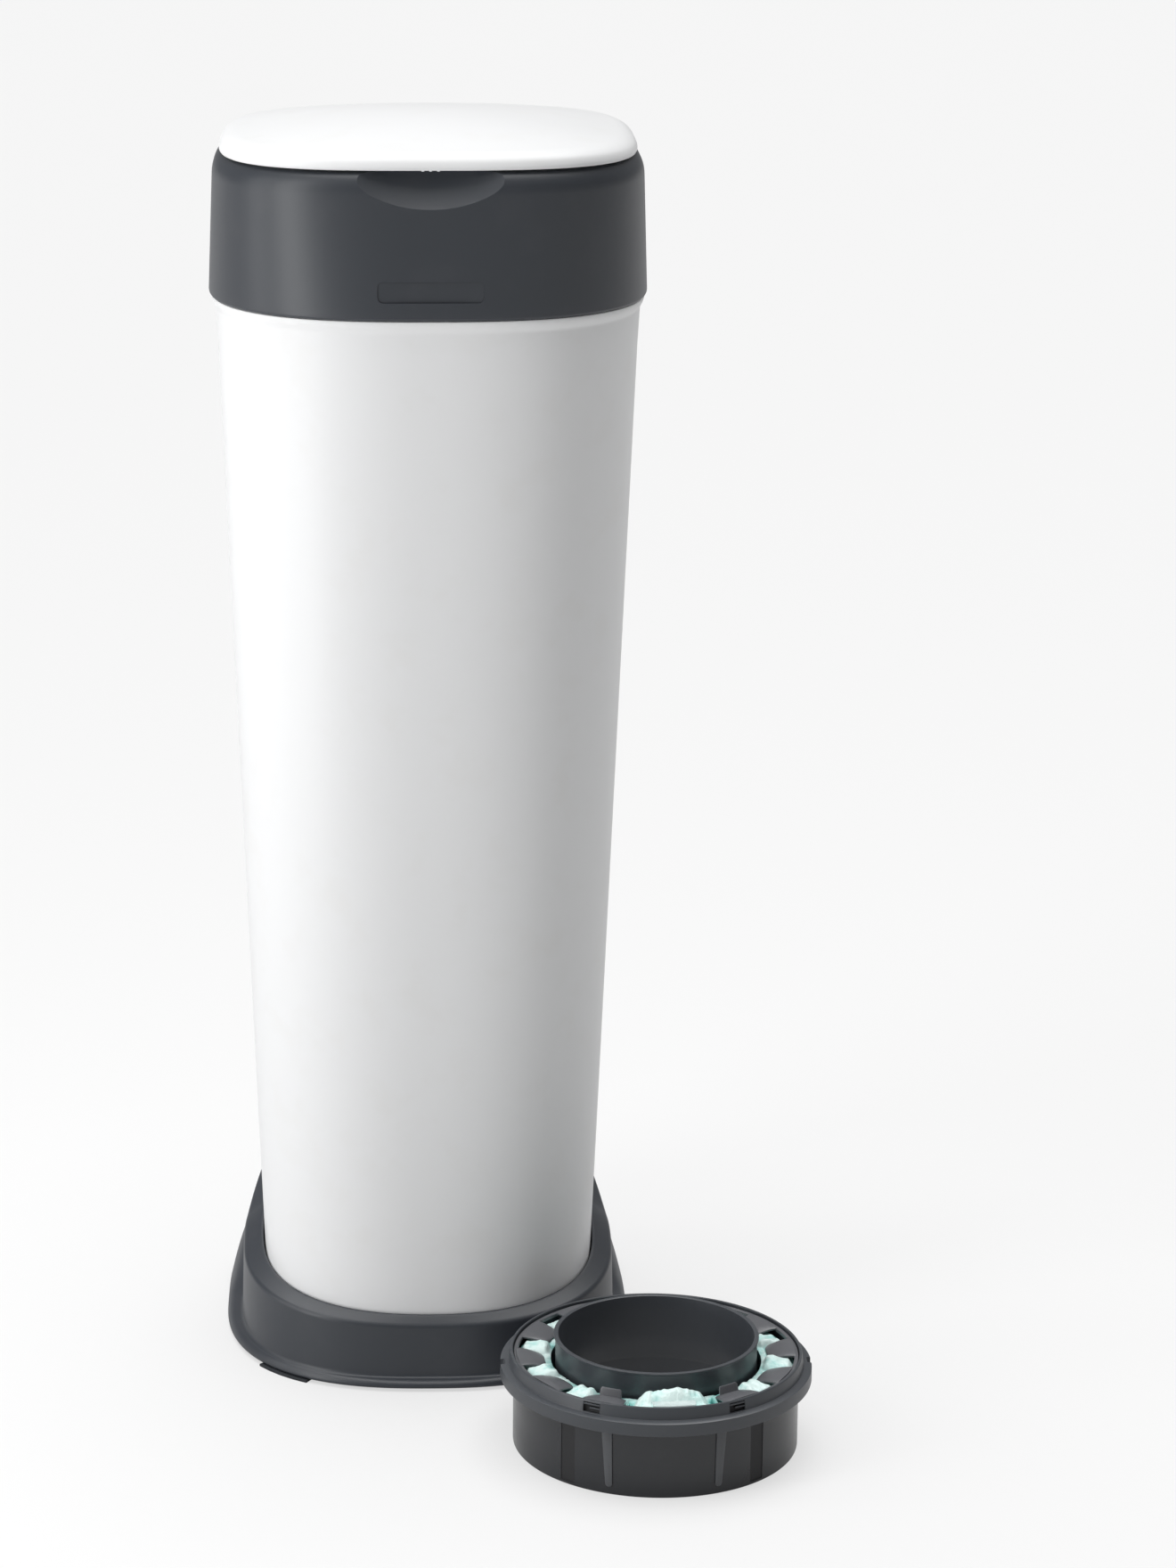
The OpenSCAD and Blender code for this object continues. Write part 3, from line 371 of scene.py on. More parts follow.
# A shell: a circle extruded ring by ring, each ring then laid on its outline
def ringShell(name, columns, ringCount, placeAt):
    clean()
    bpy.ops.mesh.primitive_circle_add(vertices=columns, radius=1)
    piece = bpy.context.object
    piece.name = name
    bpy.ops.object.mode_set(mode="EDIT")
    bpy.ops.mesh.select_all(action="SELECT")
    for step in range(ringCount - 1):
        bpy.ops.mesh.extrude_region_move(TRANSFORM_OT_translate={"value": (0, 0, 1)})
    bpy.ops.object.mode_set(mode="OBJECT")
    for vertex in piece.data.vertices:
        turn = math.atan2(vertex.co.x, -vertex.co.y)
        column = round(turn / wholeTurn * columns) % columns
        vertex.co = placeAt(column * wholeTurn / columns, round(vertex.co.z)) * mm
    return close(piece)


def outlineIndex(vertex, count):
    return round(math.atan2(vertex.co.y, vertex.co.x) / wholeTurn * count) % count


# A round piece: its closed outline (radius, height) is spun about the axis
def spun(name, outline, steps=192):
    clean()
    bpy.ops.mesh.primitive_circle_add(vertices=len(outline), radius=1)
    piece = bpy.context.object
    piece.name = name
    for vertex in piece.data.vertices:
        radius, up = outline[outlineIndex(vertex, len(outline))]
        vertex.co = (radius * mm, 0, up * mm)
    bpy.ops.object.mode_set(mode="EDIT")
    bpy.ops.mesh.select_all(action="SELECT")
    bpy.ops.mesh.spin(steps=steps, angle=wholeTurn, center=(0, 0, 0), axis=(0, 0, 1))
    bpy.ops.object.mode_set(mode="OBJECT")
    return close(piece)


# A plate: a flat outline extruded along one axis between two places
def plate(name, outline, axis, start, end):
    clean()
    bpy.ops.mesh.primitive_circle_add(vertices=len(outline), radius=1, fill_type="NGON")
    piece = bpy.context.object
    piece.name = name
    bpy.ops.object.mode_set(mode="EDIT")
    bpy.ops.mesh.select_all(action="SELECT")
    bpy.ops.mesh.extrude_region_move(TRANSFORM_OT_translate={"value": (0, 0, 1)})
    bpy.ops.object.mode_set(mode="OBJECT")
    for vertex in piece.data.vertices:
        first, second = outline[outlineIndex(vertex, len(outline))]
        along = end if vertex.co.z > 0.5 else start
        vertex.co = Vector({"X": (along, first, second), "Y": (first, along, second),
                            "Z": (first, second, along)}[axis]) * mm
    return close(piece)


def rod(name, radius, centre, length, axis, sides=64):
    turned = {"X": (0, math.pi / 2, 0), "Z": (0, 0, 0)}[axis]
    clean()
    bpy.ops.mesh.primitive_cylinder_add(vertices=sides, radius=radius * mm, depth=length * mm,
                                        location=Vector(centre) * mm, rotation=turned)
    piece = bpy.context.object
    piece.name = name
    bpy.ops.object.transform_apply(location=True, rotation=True, scale=True)
    return piece


def block(name, low, high, edge=0):
    clean()
    low, high = Vector(low) * mm, Vector(high) * mm
    bpy.ops.mesh.primitive_cube_add(size=1, location=(low + high) / 2, scale=high - low)
    piece = bpy.context.object
    piece.name = name
    bpy.ops.object.transform_apply(location=True, rotation=True, scale=True)
    return softEdges(piece, edge, 3) if edge else piece


# A CAD node's own shape with merged faces and softened edges
def dressNode(node, body, finish, edge):
    piece = frame["nodes"][node].copy()
    piece.data = frame["nodes"][node].data.copy()
    piece.name = node + "Dressed"
    piece.parent = None
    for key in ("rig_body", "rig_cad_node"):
        if key in piece:
            del piece[key]
    piece.matrix_world = Matrix.Identity(4)
    bpy.context.scene.collection.objects.link(piece)
    pick(piece)
    bpy.ops.object.mode_set(mode="EDIT")
    bpy.ops.mesh.select_all(action="SELECT")
    bpy.ops.mesh.remove_doubles(threshold=0.000004)
    bpy.ops.mesh.dissolve_limited(angle_limit=math.radians(0.4))
    bpy.ops.object.mode_set(mode="OBJECT")
    if edge:
        softEdges(piece, edge)
    return dress(piece, body, finish, node)


# The tub: a tapering oval bucket with a flared lip and flat moulded side panels
tubSizes = dict(low=11.3, top=598, footHalf=91.3, lean=0.0385, wall=2.4, square=2.6, columns=360, footRise=4,
                floorTop=14.3, lipFoot=591.5, flange=116.32, spigotOut=113.02, spigotIn=111.02, spigotHigh=6,
                seamAt=(70.5, 109.5), seamBlend=1.4, seamEnds=(20, 586), seamDeep=0.35, bossAt=(-42, 42),
                bossRadius=5, bossMiddle=20, bossLong=13)


def tubHalf(up):
    return tubSizes["footHalf"] + tubSizes["lean"] * up


def tubOutline():
    sizes = tubSizes
    low, top, wall, flange, lipFoot = (sizes[key] for key in ("low", "top", "wall", "flange", "lipFoot"))
    foot, spigotTop, floorTop = low + sizes["footRise"], top + sizes["spigotHigh"], sizes["floorTop"]
    rows = [(0, low), (tubHalf(low) - 2.5, low, 2), (tubHalf(foot) - 0.2, foot, 3)]
    rows += [(tubHalf(up), up) for up in (120, 300, 480, 570)]
    rows += [(tubHalf(lipFoot), lipFoot, 1.2), (flange - 0.5, lipFoot + 3.1, 0.9), (flange, top - 1.6),
             (flange, top, 0.7), (sizes["spigotOut"], top, 0.4), (sizes["spigotOut"], spigotTop, 0.6),
             (sizes["spigotIn"], spigotTop, 0.6), (sizes["spigotIn"], top - 4, 1.5)]
    rows += [(tubHalf(up) - wall, up) for up in (top - 14, 300)]
    rows += [(tubHalf(19) - wall, 19, 4), (tubHalf(14) - 8, floorTop, 2), (0, floorTop)]
    return dense(outlineOf(rows), 45)


def makeTub():
    sizes, outline = tubSizes, tubOutline()
    firstSide, lastSide = sizes["seamAt"]
    seamLow, seamHigh = sizes["seamEnds"]

    def placeAt(turn, ring):
        half, up = outline[ring]
        angle = folded(turn)
        panel = (smoothStep((angle - firstSide) / sizes["seamBlend"])
                 * smoothStep((lastSide - angle) / sizes["seamBlend"]))
        fade = smoothStep((seamHigh - up) / 5) * smoothStep((up - seamLow) / 10)
        outside = half > tubHalf(up) - 1
        sunk = sizes["seamDeep"] * panel * fade if outside else 0
        return ovalPoint(turn, half - sunk, up, sizes["square"])

    tub = ringShell("tubShell", sizes["columns"], len(outline), placeAt)
    dress(tub, "base", "whiteSatin", "tub", angle=28)
    radius, middle, long = sizes["bossRadius"], sizes["bossMiddle"], sizes["bossLong"]
    bosses = [softEdges(rod("tubBoss", radius, (x, y, middle), long, "Z"), 0.5)
              for x in sizes["bossAt"] for y in sizes["bossAt"]]
    dress(joined(bosses, "tubBosses"), "base", "whiteSatin")


def folded(turn):
    angle = math.degrees(turn) % 360
    return 360 - angle if angle > 180 else angle


makeTub()
print("stage: tub modelled")

# The shoe: a sloping lip round the tub, wider at its sides and rising at the heel, over a flared foot
shoeSizes = dict(frontTop=40.7, sweep=33, heel=72, heelFrom=104, heelSpan=62, lipHigh=5, lipGrow=1.5,
                 lipDrop=4, dropFrom=60, dropSpan=70, lipOut=(6.9, 12), creaseOut=(10.5, 15), outSpan=80,
                 backFrom=125, backSpan=40, creaseFront=6.5, creaseSide=2.5, creaseRise=91, creaseFrom=95,
                 creaseSpan=65, footHalf=115.2, footFront=123.5, footRear=110, footBack=16,
                 footSquare=(2.5, 4.0), rimUp=3.5, under=1.7, hollow=8, floorTop=11, tubGap=0.4,
                 columns=360, bossRadius=15)


def shoeTop(turn):
    sizes = shoeSizes
    rise = smoothStep((folded(turn) - sizes["heelFrom"]) / sizes["heelSpan"])
    return sizes["frontTop"] + sizes["sweep"] * math.sin(turn / 2) ** 2 + sizes["heel"] * rise


def shoeLip(turn):
    sizes = shoeSizes
    drop = sizes["lipDrop"] * smoothStep((folded(turn) - sizes["dropFrom"]) / sizes["dropSpan"])
    return shoeTop(turn) - sizes["lipHigh"] - sizes["lipGrow"] * math.sin(turn / 2) ** 2 - drop


def shoeCrease(turn):
    sizes = shoeSizes
    side = smoothStep(folded(turn) / 90)
    rise = smoothStep((folded(turn) - sizes["creaseFrom"]) / sizes["creaseSpan"])
    return sizes["creaseFront"] + sizes["creaseSide"] * side + sizes["creaseRise"] * rise


# How far the lip or the crease stands out from the tub: more at the sides than at front and heel
def reachOut(turn, key):
    sizes = shoeSizes
    side = smoothStep(folded(turn) / sizes["outSpan"])
    side *= 1 - smoothStep((folded(turn) - sizes["backFrom"]) / sizes["backSpan"])
    return between(sizes[key], side)


def footPoint(turn, inset, up):
    sizes, front = shoeSizes, folded(turn) < 90
    deep, square = sizes["footFront" if front else "footRear"], sizes["footSquare"][0 if front else 1]
    reach = ovalRadius(turn, sizes["footHalf"] - inset, deep - inset, square)
    return Vector((reach * math.sin(turn), sizes["footBack"] - reach * math.cos(turn), up))


def tubSide(turn, out, up):
    return ovalPoint(turn, tubHalf(up) + out, up, tubSizes["square"])


def flangePoint(turn, out, down):
    crease = tubSide(turn, reachOut(turn, "creaseOut"), shoeCrease(turn))
    foot = footPoint(turn, 0, shoeSizes["rimUp"])
    return Vector((crease.x + (foot.x - crease.x) * out, crease.y + (foot.y - crease.y) * out,
                   crease.z + (foot.z - crease.z) * down))


def shoeColumn(turn):
    under, hollow, floorTop, gap = (shoeSizes[key] for key in ("under", "hollow", "floorTop", "tubGap"))
    lip, top = shoeLip(turn), shoeTop(turn)
    lipOut, creaseOut = reachOut(turn, "lipOut"), reachOut(turn, "creaseOut")
    rows = [(Vector((0, 0, hollow)), 0),
            (footPoint(turn, 5, hollow).lerp(tubSide(turn, gap, hollow), 0.35), 0.5),
            (footPoint(turn, 5, under), 0.3), (footPoint(turn, 0.8, under), 0.7),
            (footPoint(turn, 0, under + 1), 0.8), (flangePoint(turn, 0.97, 0.92), 4),
            (flangePoint(turn, 0.78, 0.5), 12), (flangePoint(turn, 0.5, 0.2), 12),
            (flangePoint(turn, 0.08, 0.06), 1.8), (tubSide(turn, creaseOut - 0.6, shoeCrease(turn) + 1), 1.2),
            (tubSide(turn, lipOut, lip - 0.4), 1.4), (tubSide(turn, lipOut - 1.2, lip + 1.0), 0.8),
            (tubSide(turn, 1.9, top - 0.3), 0.6), (tubSide(turn, 0.9, top), 0.4),
            (tubSide(turn, gap, top - 0.6), 0), (tubSide(turn, gap, floorTop), 0),
            (Vector((0, 0, floorTop)), 0)]
    return softened([row[0] for row in rows], [row[1] for row in rows], 5)


def makeShoe():
    columns = {}
    under, radius, high = shoeSizes["under"], shoeSizes["bossRadius"], shoeSizes["hollow"] + 0.2

    def placeAt(turn, ring):
        if turn not in columns:
            columns[turn] = shoeColumn(turn)
        return columns[turn][ring]

    shoe = ringShell("shoeShell", shoeSizes["columns"], len(shoeColumn(0)), placeAt)
    dress(shoe, "base", "greySatin", "base_shoe", angle=30)
    rows = [(0, under), (radius - 0.8, under), (radius, under + 0.8), (radius, high), (0, high)]
    dress(spun("shoeBoss", outlineOf(rows)), "base", "greySatin")
    dressNode("rubber_pads", "base", "blackRubber", 0.3)


makeShoe()
print("stage: shoe modelled")

# The collar: a rounded square drum with a stepped opening, a finger scoop and a bare recess
headUp = 598
collarSizes = dict(footHalf=117.72, topHalf=115.22, shoulderAt=63.1, height=76.1, wall=2.6, low=0.3,
                   lipHalf=101.52, stepHalf=93.52, stepDown=2.9, stepThick=2.5, square=(2.6, 3.0),
                   columns=360, scoopBall=141.5, scoopAt=(0, -226.6, 145.2), scoopWall=1.4,
                   bossAt=(-83, 83), bossRadius=4.2, bossMiddle=67.5, bossLong=9)
recessSizes = dict(wide=55, tall=11, corner=3, deep=1.4, middle=15.3)
hingeSizes = dict(lidPin=(121.523, 65.7), lidLugAt=(-39, -19, 19, 39), lidLugHalf=4.5, lidLugRadius=4.7,
                  lidBore=2.05, headPin=(124.023, 2), headLugHalf=19.5, headLugRadius=5, headBore=2.08,
                  headLugFoot=116.4)


def collarSquare(up):
    return between(collarSizes["square"], (up - headUp) / collarSizes["height"])


def collarHalf(up):
    return between((collarSizes["footHalf"], collarSizes["topHalf"]), up / collarSizes["shoulderAt"])


def pushedBack(point, ball):
    away = ball ** 2 - point.x ** 2 - (point.z - headUp - collarSizes["scoopAt"][2]) ** 2
    if away > 0 and point.y < 0:
        point.y = max(point.y, collarSizes["scoopAt"][1] + math.sqrt(away))
    return point


def makeLidLug(across):
    sizes = hingeSizes
    radius, half, (deep, up) = sizes["lidLugRadius"], sizes["lidLugHalf"], sizes["lidPin"]
    wall, up = collarHalf(up) - 1.5, headUp + up
    outline = arcPoints((deep, up), radius, -90, 12, 16)
    outline += [Vector((wall, up + radius)), Vector((wall, up - radius))]
    lug = plate("lug", outline, "X", across - half, across + half)
    cut(lug, rod("bore", sizes["lidBore"], (across, deep, up), 2 * half + 4, "X"))
    return softEdges(lug, 0.3)


def makeHeadLug():
    sizes = hingeSizes
    foot, half, (deep, up) = sizes["headLugFoot"], sizes["headLugHalf"], sizes["headPin"]
    up += headUp
    outline = [Vector((foot, headUp + 1.3)), Vector((deep, headUp - 1.2))]
    outline += arcPoints((deep, up), sizes["headLugRadius"], -78, 12, 15) + [Vector((foot, headUp + 13))]
    lug = plate("headLug", outline, "X", -half, half)
    cut(lug, rod("bore", sizes["headBore"], (0, deep, up), 2 * half + 5, "X"))
    return softEdges(lug, 0.4)


def makeCollarShell():
    sizes = collarSizes
    top, half, wall, low = sizes["height"], sizes["topHalf"], sizes["wall"], sizes["low"]
    step = top - sizes["stepDown"]
    under = step - sizes["stepThick"]
    rows = [(sizes["footHalf"] - wall, low), (sizes["footHalf"] - 0.9, low, 0.6), (collarHalf(1.5), 1.5, 0.6),
            (collarHalf(22), 22), (collarHalf(44), 44), (collarHalf(62), 62, 1), (half - 0.12, 66, 1.6),
            (half - 0.75, 69, 1.6), (half - 1.9, 71.6, 1.4), (half - 3.5, 73.9, 1.4), (half - 5.2, 75.5, 1.2),
            (half - 7.4, top, 1.2), (sizes["lipHalf"], top, 0.5), (sizes["lipHalf"], step, 0.4),
            (sizes["stepHalf"], step, 0.4), (sizes["stepHalf"], under, 0.4), (half - 1 - wall, under)]
    rows += [(collarHalf(up) - wall, up) for up in (57, 40, 20)] + [(sizes["footHalf"] - wall, low)]
    outline = dense(outlineOf(rows), 6)
    turnBack = next(ring for ring, (reach, up) in enumerate(outline)
                    if ring > 40 and abs(up - under) < 0.01 and reach > half - 6)

    def placeAt(turn, ring):
        reach, up = outline[ring]
        point = ovalPoint(turn, reach, headUp + up, collarSquare(headUp + up))
        inside = ring >= turnBack or ring == 0
        return pushedBack(point, sizes["scoopBall"] + sizes["scoopWall"]) if inside else point

    return ringShell("collarShell", sizes["columns"], len(outline), placeAt)


def makeScoopBall():
    clean()
    place = Vector(collarSizes["scoopAt"]) + Vector((0, 0, headUp))
    bpy.ops.mesh.primitive_uv_sphere_add(segments=180, ring_count=90, radius=collarSizes["scoopBall"] * mm,
                                         location=place * mm)
    bpy.ops.object.transform_apply(location=True, rotation=False, scale=False)
    return bpy.context.object


def makeRecessCutter():
    sizes = recessSizes
    corner, face = sizes["corner"], -collarHalf(sizes["middle"])
    wide, tall = sizes["wide"] / 2 - corner, sizes["tall"] / 2 - corner
    outline = []
    for across, high, first in ((1, 1, 0), (-1, 1, 90), (-1, -1, 180), (1, -1, 270)):
        centre = (across * wide, headUp + sizes["middle"] + high * tall)
        outline += arcPoints(centre, corner, first, 15, 7)
    return plate("recessCutter", outline, "Y", face - 5, face + sizes["deep"])


def makeCollar():
    sizes = collarSizes
    collar = cut(makeCollarShell(), makeScoopBall())
    cut(collar, makeRecessCutter())
    dress(collar, "head", "greySatin", "head_collar", angle=15)
    lugs = [makeLidLug(across) for across in hingeSizes["lidLugAt"]]
    dress(joined(lugs + [makeHeadLug()], "collarLugs"), "head", "greySatin")
    bosses = [rod("boss", sizes["bossRadius"], (x, y, headUp + sizes["bossMiddle"]), sizes["bossLong"], "Z")
              for x in sizes["bossAt"] for y in sizes["bossAt"]]
    dress(joined(bosses, "collarBosses"), "head", "greySatin")


makeCollar()
print("stage: collar modelled")

# The lid: a shallow dome with a rolled edge, thin walled, and three small grip ridges
lidSizes = dict(low=675.0, half=111.22, square=3.1, roundTop=2, sideHeight=6.5, dome=9.0, domeFoot=1.7,
                domeSpread=0.85, wall=2.2, columns=288, armAt=(-29, 29), armHalf=5.5, armIn=8.2,
                armUp=(674, 680.8), ridgeRadius=0.8, ridgeApart=4)


def domeUp(share):
    flat = 1 - max(share, 0.1) ** 2 / lidSizes["domeSpread"]
    return lidSizes["sideHeight"] + lidSizes["domeFoot"] + lidSizes["dome"] * flat


def lidOutline():
    half, side, wall = lidSizes["half"], lidSizes["sideHeight"], lidSizes["wall"]
    edge = [(0.6, 0, 0.4), (0, 0.9, 0.8), (0.25, side - 3.9, 2), (1.5, side - 1.4, 1.6),
            (4.6, side + 0.75, 2), (9, side + 2.05, 2)]
    rows = [(half - inset, up, soft) for inset, up, soft in edge]
    rows += [(half * share, domeUp(share)) for share in (0.86, 0.8, 0.7, 0.6, 0.5, 0.4, 0.3, 0.2, 0.1, 0.0)]
    rows += [(half * share, domeUp(share) - wall) for share in (0.0, 0.2, 0.4, 0.6, 0.8, 0.88)]
    rows += [(half - 4.8, side - 1.2, 1), (half - 2.4, side - 4, 1), (half - wall, 0, 0.3), (half - 0.6, 0)]
    return outlineOf(rows)


def makeLid():
    sizes, outline = lidSizes, lidOutline()
    half, (armLow, armHigh) = sizes["half"], sizes["armUp"]

    def placeAt(turn, ring):
        reach, up = outline[ring]
        square = between((sizes["roundTop"], sizes["square"]), smoothStep((reach / half - 0.1) / 0.75))
        return ovalPoint(turn, reach, sizes["low"] + up, square)

    lid = ringShell("lidDome", sizes["columns"], len(outline), placeAt)
    notches = [block("armNotch", (x - sizes["armHalf"], half - sizes["armIn"], armLow),
                     (x + sizes["armHalf"], half + 3, armHigh), 0.4) for x in sizes["armAt"]]
    cut(lid, joined(notches, "armNotches"))
    dress(lid, "lid", "whiteSatin", "lid_shell", angle=28)
    radius, apart, up = sizes["ridgeRadius"], sizes["ridgeApart"], sizes["low"] + 0.5
    ridges = [rod("ridge", radius, (apart * k, 1.4 - half, up), 2, "Z", 32) for k in (-1, 0, 1)]
    dress(joined([softEdges(ridge, 0.35, 3) for ridge in ridges], "gripRidges"), "lid", "whiteSatin")
    for node, finish, edge in (("lid_liner", "whiteSatin", 0), ("lid_seal", "blackRubber", 0.5),
                               ("lid_hinge_arms", "greySatin", 0.5)):
        dressNode(node, "lid", finish, edge)


# The plunger under the lid pushes a nappy into the cassette
plungerSizes = dict(top=675.2, deep=33, radius=45, rim=6, wall=2)


def makePlunger():
    sizes = plungerSizes
    radius, low, wall = sizes["radius"], -sizes["deep"], sizes["wall"]
    rows = [(0, low), (radius - 12, low, 3), (radius - 4, low + 5, 3), (radius, -4, 1),
            (radius + sizes["rim"], -2, 0.4), (radius + sizes["rim"], 0), (radius - wall, 0),
            (radius - 4 - wall, low + 6 + wall, 2), (radius - 13, low + wall, 2), (0, low + wall)]
    plunger = spun("plunger", outlineOf([(row[0], sizes["top"] + row[1], *row[2:]) for row in rows]))
    dress(plunger, "lid", "darkMatte", "lid_plunger")


makeLid()
makePlunger()
print("stage: lid modelled")

# The cassette: a ring trough with a flange, ribs, a tongued cover and pleated film
cassetteSizes = dict(wallR=76.5, flangeR=83.5, flangeLow=37.5, flangeTop=45.0, lipR=78.2, lipTop=51.8,
                     tubeR=54, tubeTop=60.8, wall=1.6, turnSteps=288, windowAt=(241, 299), windowHalf=4.8,
                     windowUp=(45.4, 50.8), earAt=(0, 180), fittedUp=594.5, spareAt=(120, -170, 0))
wallMarks = dict(facing=(270, 90), ribAt=(23, -23), ribWide=(5.9, 4.0), ribOut=0.85, ribFrom=4.5,
                 ribLean=1.4, stripAt=(40.5, -40.5), stripWide=9, stripDeep=0.4)
coverSizes = dict(first=4, step=30, empty=274, tabsAt=(244, 304), rootHalf=9.2, tipHalf=7.4, rootR=75,
                  tipR=60.4, bandIn=74.0, bandOut=76.2, thick=1.3)


def turnedTo(piece, angle):
    piece.data.transform(Matrix.Rotation(math.radians(angle), 4, "Z"))
    return piece


# A raised rib on the trough's wall, leaning a little, with a round lower end
def makeRib(angle, lean):
    low, high = (width / 2 for width in reversed(wallMarks["ribWide"]))
    foot, top = wallMarks["ribFrom"] + low, cassetteSizes["flangeLow"] + 0.5
    outline = arcPoints((lean, foot), low, 180, 15, 13) + [Vector((high, top)), Vector((-high, top))]
    wallR = cassetteSizes["wallR"]
    rib = plate("rib", outline, "X", wallR - 0.6, wallR + wallMarks["ribOut"])
    return turnedTo(softEdges(rib, 0.3), angle)


def makeTrough():
    sizes = cassetteSizes
    wallR, flangeR, lipR, tubeR, wall = (sizes[key] for key in ("wallR", "flangeR", "lipR", "tubeR", "wall"))
    flangeLow, flangeTop = sizes["flangeLow"], sizes["flangeTop"]
    lipTop, tubeTop = sizes["lipTop"], sizes["tubeTop"]
    rows = [(tubeR - wall, 0), (wallR, 0, 0.9), (wallR, flangeLow, 0.5), (flangeR, flangeLow, 0.6),
            (flangeR, flangeTop, 0.9), (lipR + 0.9, flangeTop, 0.5), (lipR, lipTop, 0.7),
            (lipR - wall, lipTop, 0.7), (lipR - wall, 41.5, 0.5), (wallR - wall, flangeLow),
            (wallR - wall, wall), (tubeR, wall), (tubeR, tubeTop - wall, 0.3),
            (tubeR + 0.9, tubeTop - 1.1, 0.3), (tubeR + 0.9, tubeTop, 0.5), (tubeR - wall, tubeTop, 0.5),
            (tubeR - wall, 30)]
    return spun("cassetteBody", dense(outlineOf(rows, 3), 9), sizes["turnSteps"])


# Everything that is cut from the trough in one go: latch windows, ears and sunk strips
def makeTroughCutter():
    sizes, marks = cassetteSizes, wallMarks
    wallR, flangeR, lipR, across = sizes["wallR"], sizes["flangeR"], sizes["lipR"], sizes["windowHalf"]
    (low, high), half = sizes["windowUp"], marks["stripWide"] / 2
    cutters = [turnedTo(block("window", (lipR - 1.3, -across, low), (lipR + 6, across, high), 0.4), angle)
               for angle in sizes["windowAt"]]
    cutters += [turnedTo(block("ear", (flangeR - 2.4, -3.5, 39.5), (flangeR + 4, 3.5, 47), 0.8), angle)
                for angle in sizes["earAt"]]
    cutters += [turnedTo(block("strip", (wallR - marks["stripDeep"], -half, 1.8),
                               (wallR + 3, half, sizes["flangeLow"] - 0.6)), facing + at)
                for facing in marks["facing"] for at in marks["stripAt"]]
    return joined(cutters, "cutters")


def makeCassetteBody():
    sizes, marks = cassetteSizes, wallMarks
    body = cut(makeTrough(), makeTroughCutter())
    back, front = sizes["lipR"] - 1.6, sizes["lipR"] + 0.25
    bars = [turnedTo(block("latchBar", (back, left, low), (front, right, low + 0.9), 0.2), angle)
            for angle in sizes["windowAt"] for low, left, right in ((47.3, -1.2, 4.6), (49.3, -4.6, 4.6))]
    ribs = [makeRib(facing + at, math.copysign(marks["ribLean"], -at))
            for facing in marks["facing"] for at in marks["ribAt"]]
    body = joined([body] + bars + ribs, "cassetteBody")
    # Each point of the tub gets its painted shade or sheen
    shadeAndSheenPoints = body.data.attributes.new("tone", "FLOAT", "POINT")
    for vertex in body.data.vertices:
        shadeAndSheenPoints.data[vertex.index].value = shadeAndSheenOf(vertex)
    return body


# Painted shade and sheen: 1 on ribs (painted sheen), -1 in sunk strips and window floors (painted shade), 2
# on the tube, the lip and the flange (painted sheen)
def shadeAndSheenOf(vertex):
    reach, up = math.hypot(vertex.co.x, vertex.co.y) / mm - cassetteSizes["wallR"], vertex.co.z / mm
    flangeLow = cassetteSizes["flangeLow"]
    if 1.5 < up < flangeLow + 0.6 and 0.3 < reach < 1.1:
        return 1
    if 45.2 < up < 51 and 0.2 < reach < 1.2 or 1.5 < up < flangeLow - 0.3 and -1 < reach < -0.2:
        return -1
    if reach < -18 and up > 3 or up > flangeLow - 0.1 and reach > 0:
        return 2
    return 0


def tongueUp(reach):
    heights = ((60.4, 46.6), (62, 47.4), (65, 48.4), (69, 49.3), (72, 49.7), (76, 49.8))
    for (r0, z0), (r1, z1) in zip(heights, heights[1:]):
        if reach <= r1:
            return z0 + (z1 - z0) * max(0, (reach - r0) / (r1 - r0))
    return heights[-1][1]


# A thin sheet: a grid laid by placeAt (share along, side from -1 to 1) and given its thickness
def sheet(name, across, along, placeAt, thick, middle, edge):
    clean()
    bpy.ops.mesh.primitive_grid_add(x_subdivisions=across, y_subdivisions=along, size=1)
    piece = bpy.context.object
    piece.name = name
    for vertex in piece.data.vertices:
        vertex.co = placeAt(vertex.co.x + 0.5, vertex.co.y * 2) * mm
    modify(piece, "SOLIDIFY", thickness=thick * mm, offset=middle)
    return softEdges(close(piece), edge, 2, 50)


def ringPoint(reach, angle, up):
    return Vector((reach * math.cos(angle), reach * math.sin(angle), up))


def makeTongue():
    sizes = coverSizes

    def placeAt(along, side):
        reach = between((sizes["rootR"], sizes["tipR"]), along)
        half = between((sizes["rootHalf"], sizes["tipHalf"]), along)
        half *= 1 - 0.30 * max(0, (along - 0.82) / 0.18) ** 2
        reach += 0.9 * max(0, (along - 0.8) / 0.2) * side ** 4
        return ringPoint(reach, math.radians(half * side), tongueUp(reach) - 0.9 * abs(side) ** 3)

    return sheet("tongue", 16, 14, placeAt, sizes["thick"], -1, 0.4)


def makeTongueTab():
    def placeAt(along, side):
        half = 5.6 - 0.8 * max(0, (along - 0.7) / 0.3) ** 2
        return ringPoint(63.4 - 1.8 * along, math.radians(half * side), 47.0 + 6.2 * along)

    return sheet("tongueTab", 8, 10, placeAt, 1.2, 0, 0.35)


def makeCover():
    sizes = coverSizes
    inner, outer = sizes["bandIn"], sizes["bandOut"]
    rows = [(75, 48.2), (outer, 48.3, 0.3), (outer, 50.4, 0.5), (inner, 50.2, 0.4), (inner, 48.2, 0.3),
            (74.8, 48.2)]
    pieces = [spun("cover", outlineOf(rows), cassetteSizes["turnSteps"])]
    tongue, tab = makeTongue(), makeTongueTab()
    for angle in range(sizes["first"], 360, sizes["step"]):
        turned = Matrix.Rotation(math.radians(angle), 4, "Z")
        if angle != sizes["empty"]:
            pieces.append(copyOf(tongue, "tongueCopy", turned))
        if angle in sizes["tabsAt"]:
            pieces.append(copyOf(tab, "tabCopy", turned))
    bpy.data.objects.remove(tongue)
    bpy.data.objects.remove(tab)
    return joined(pieces, "cover")


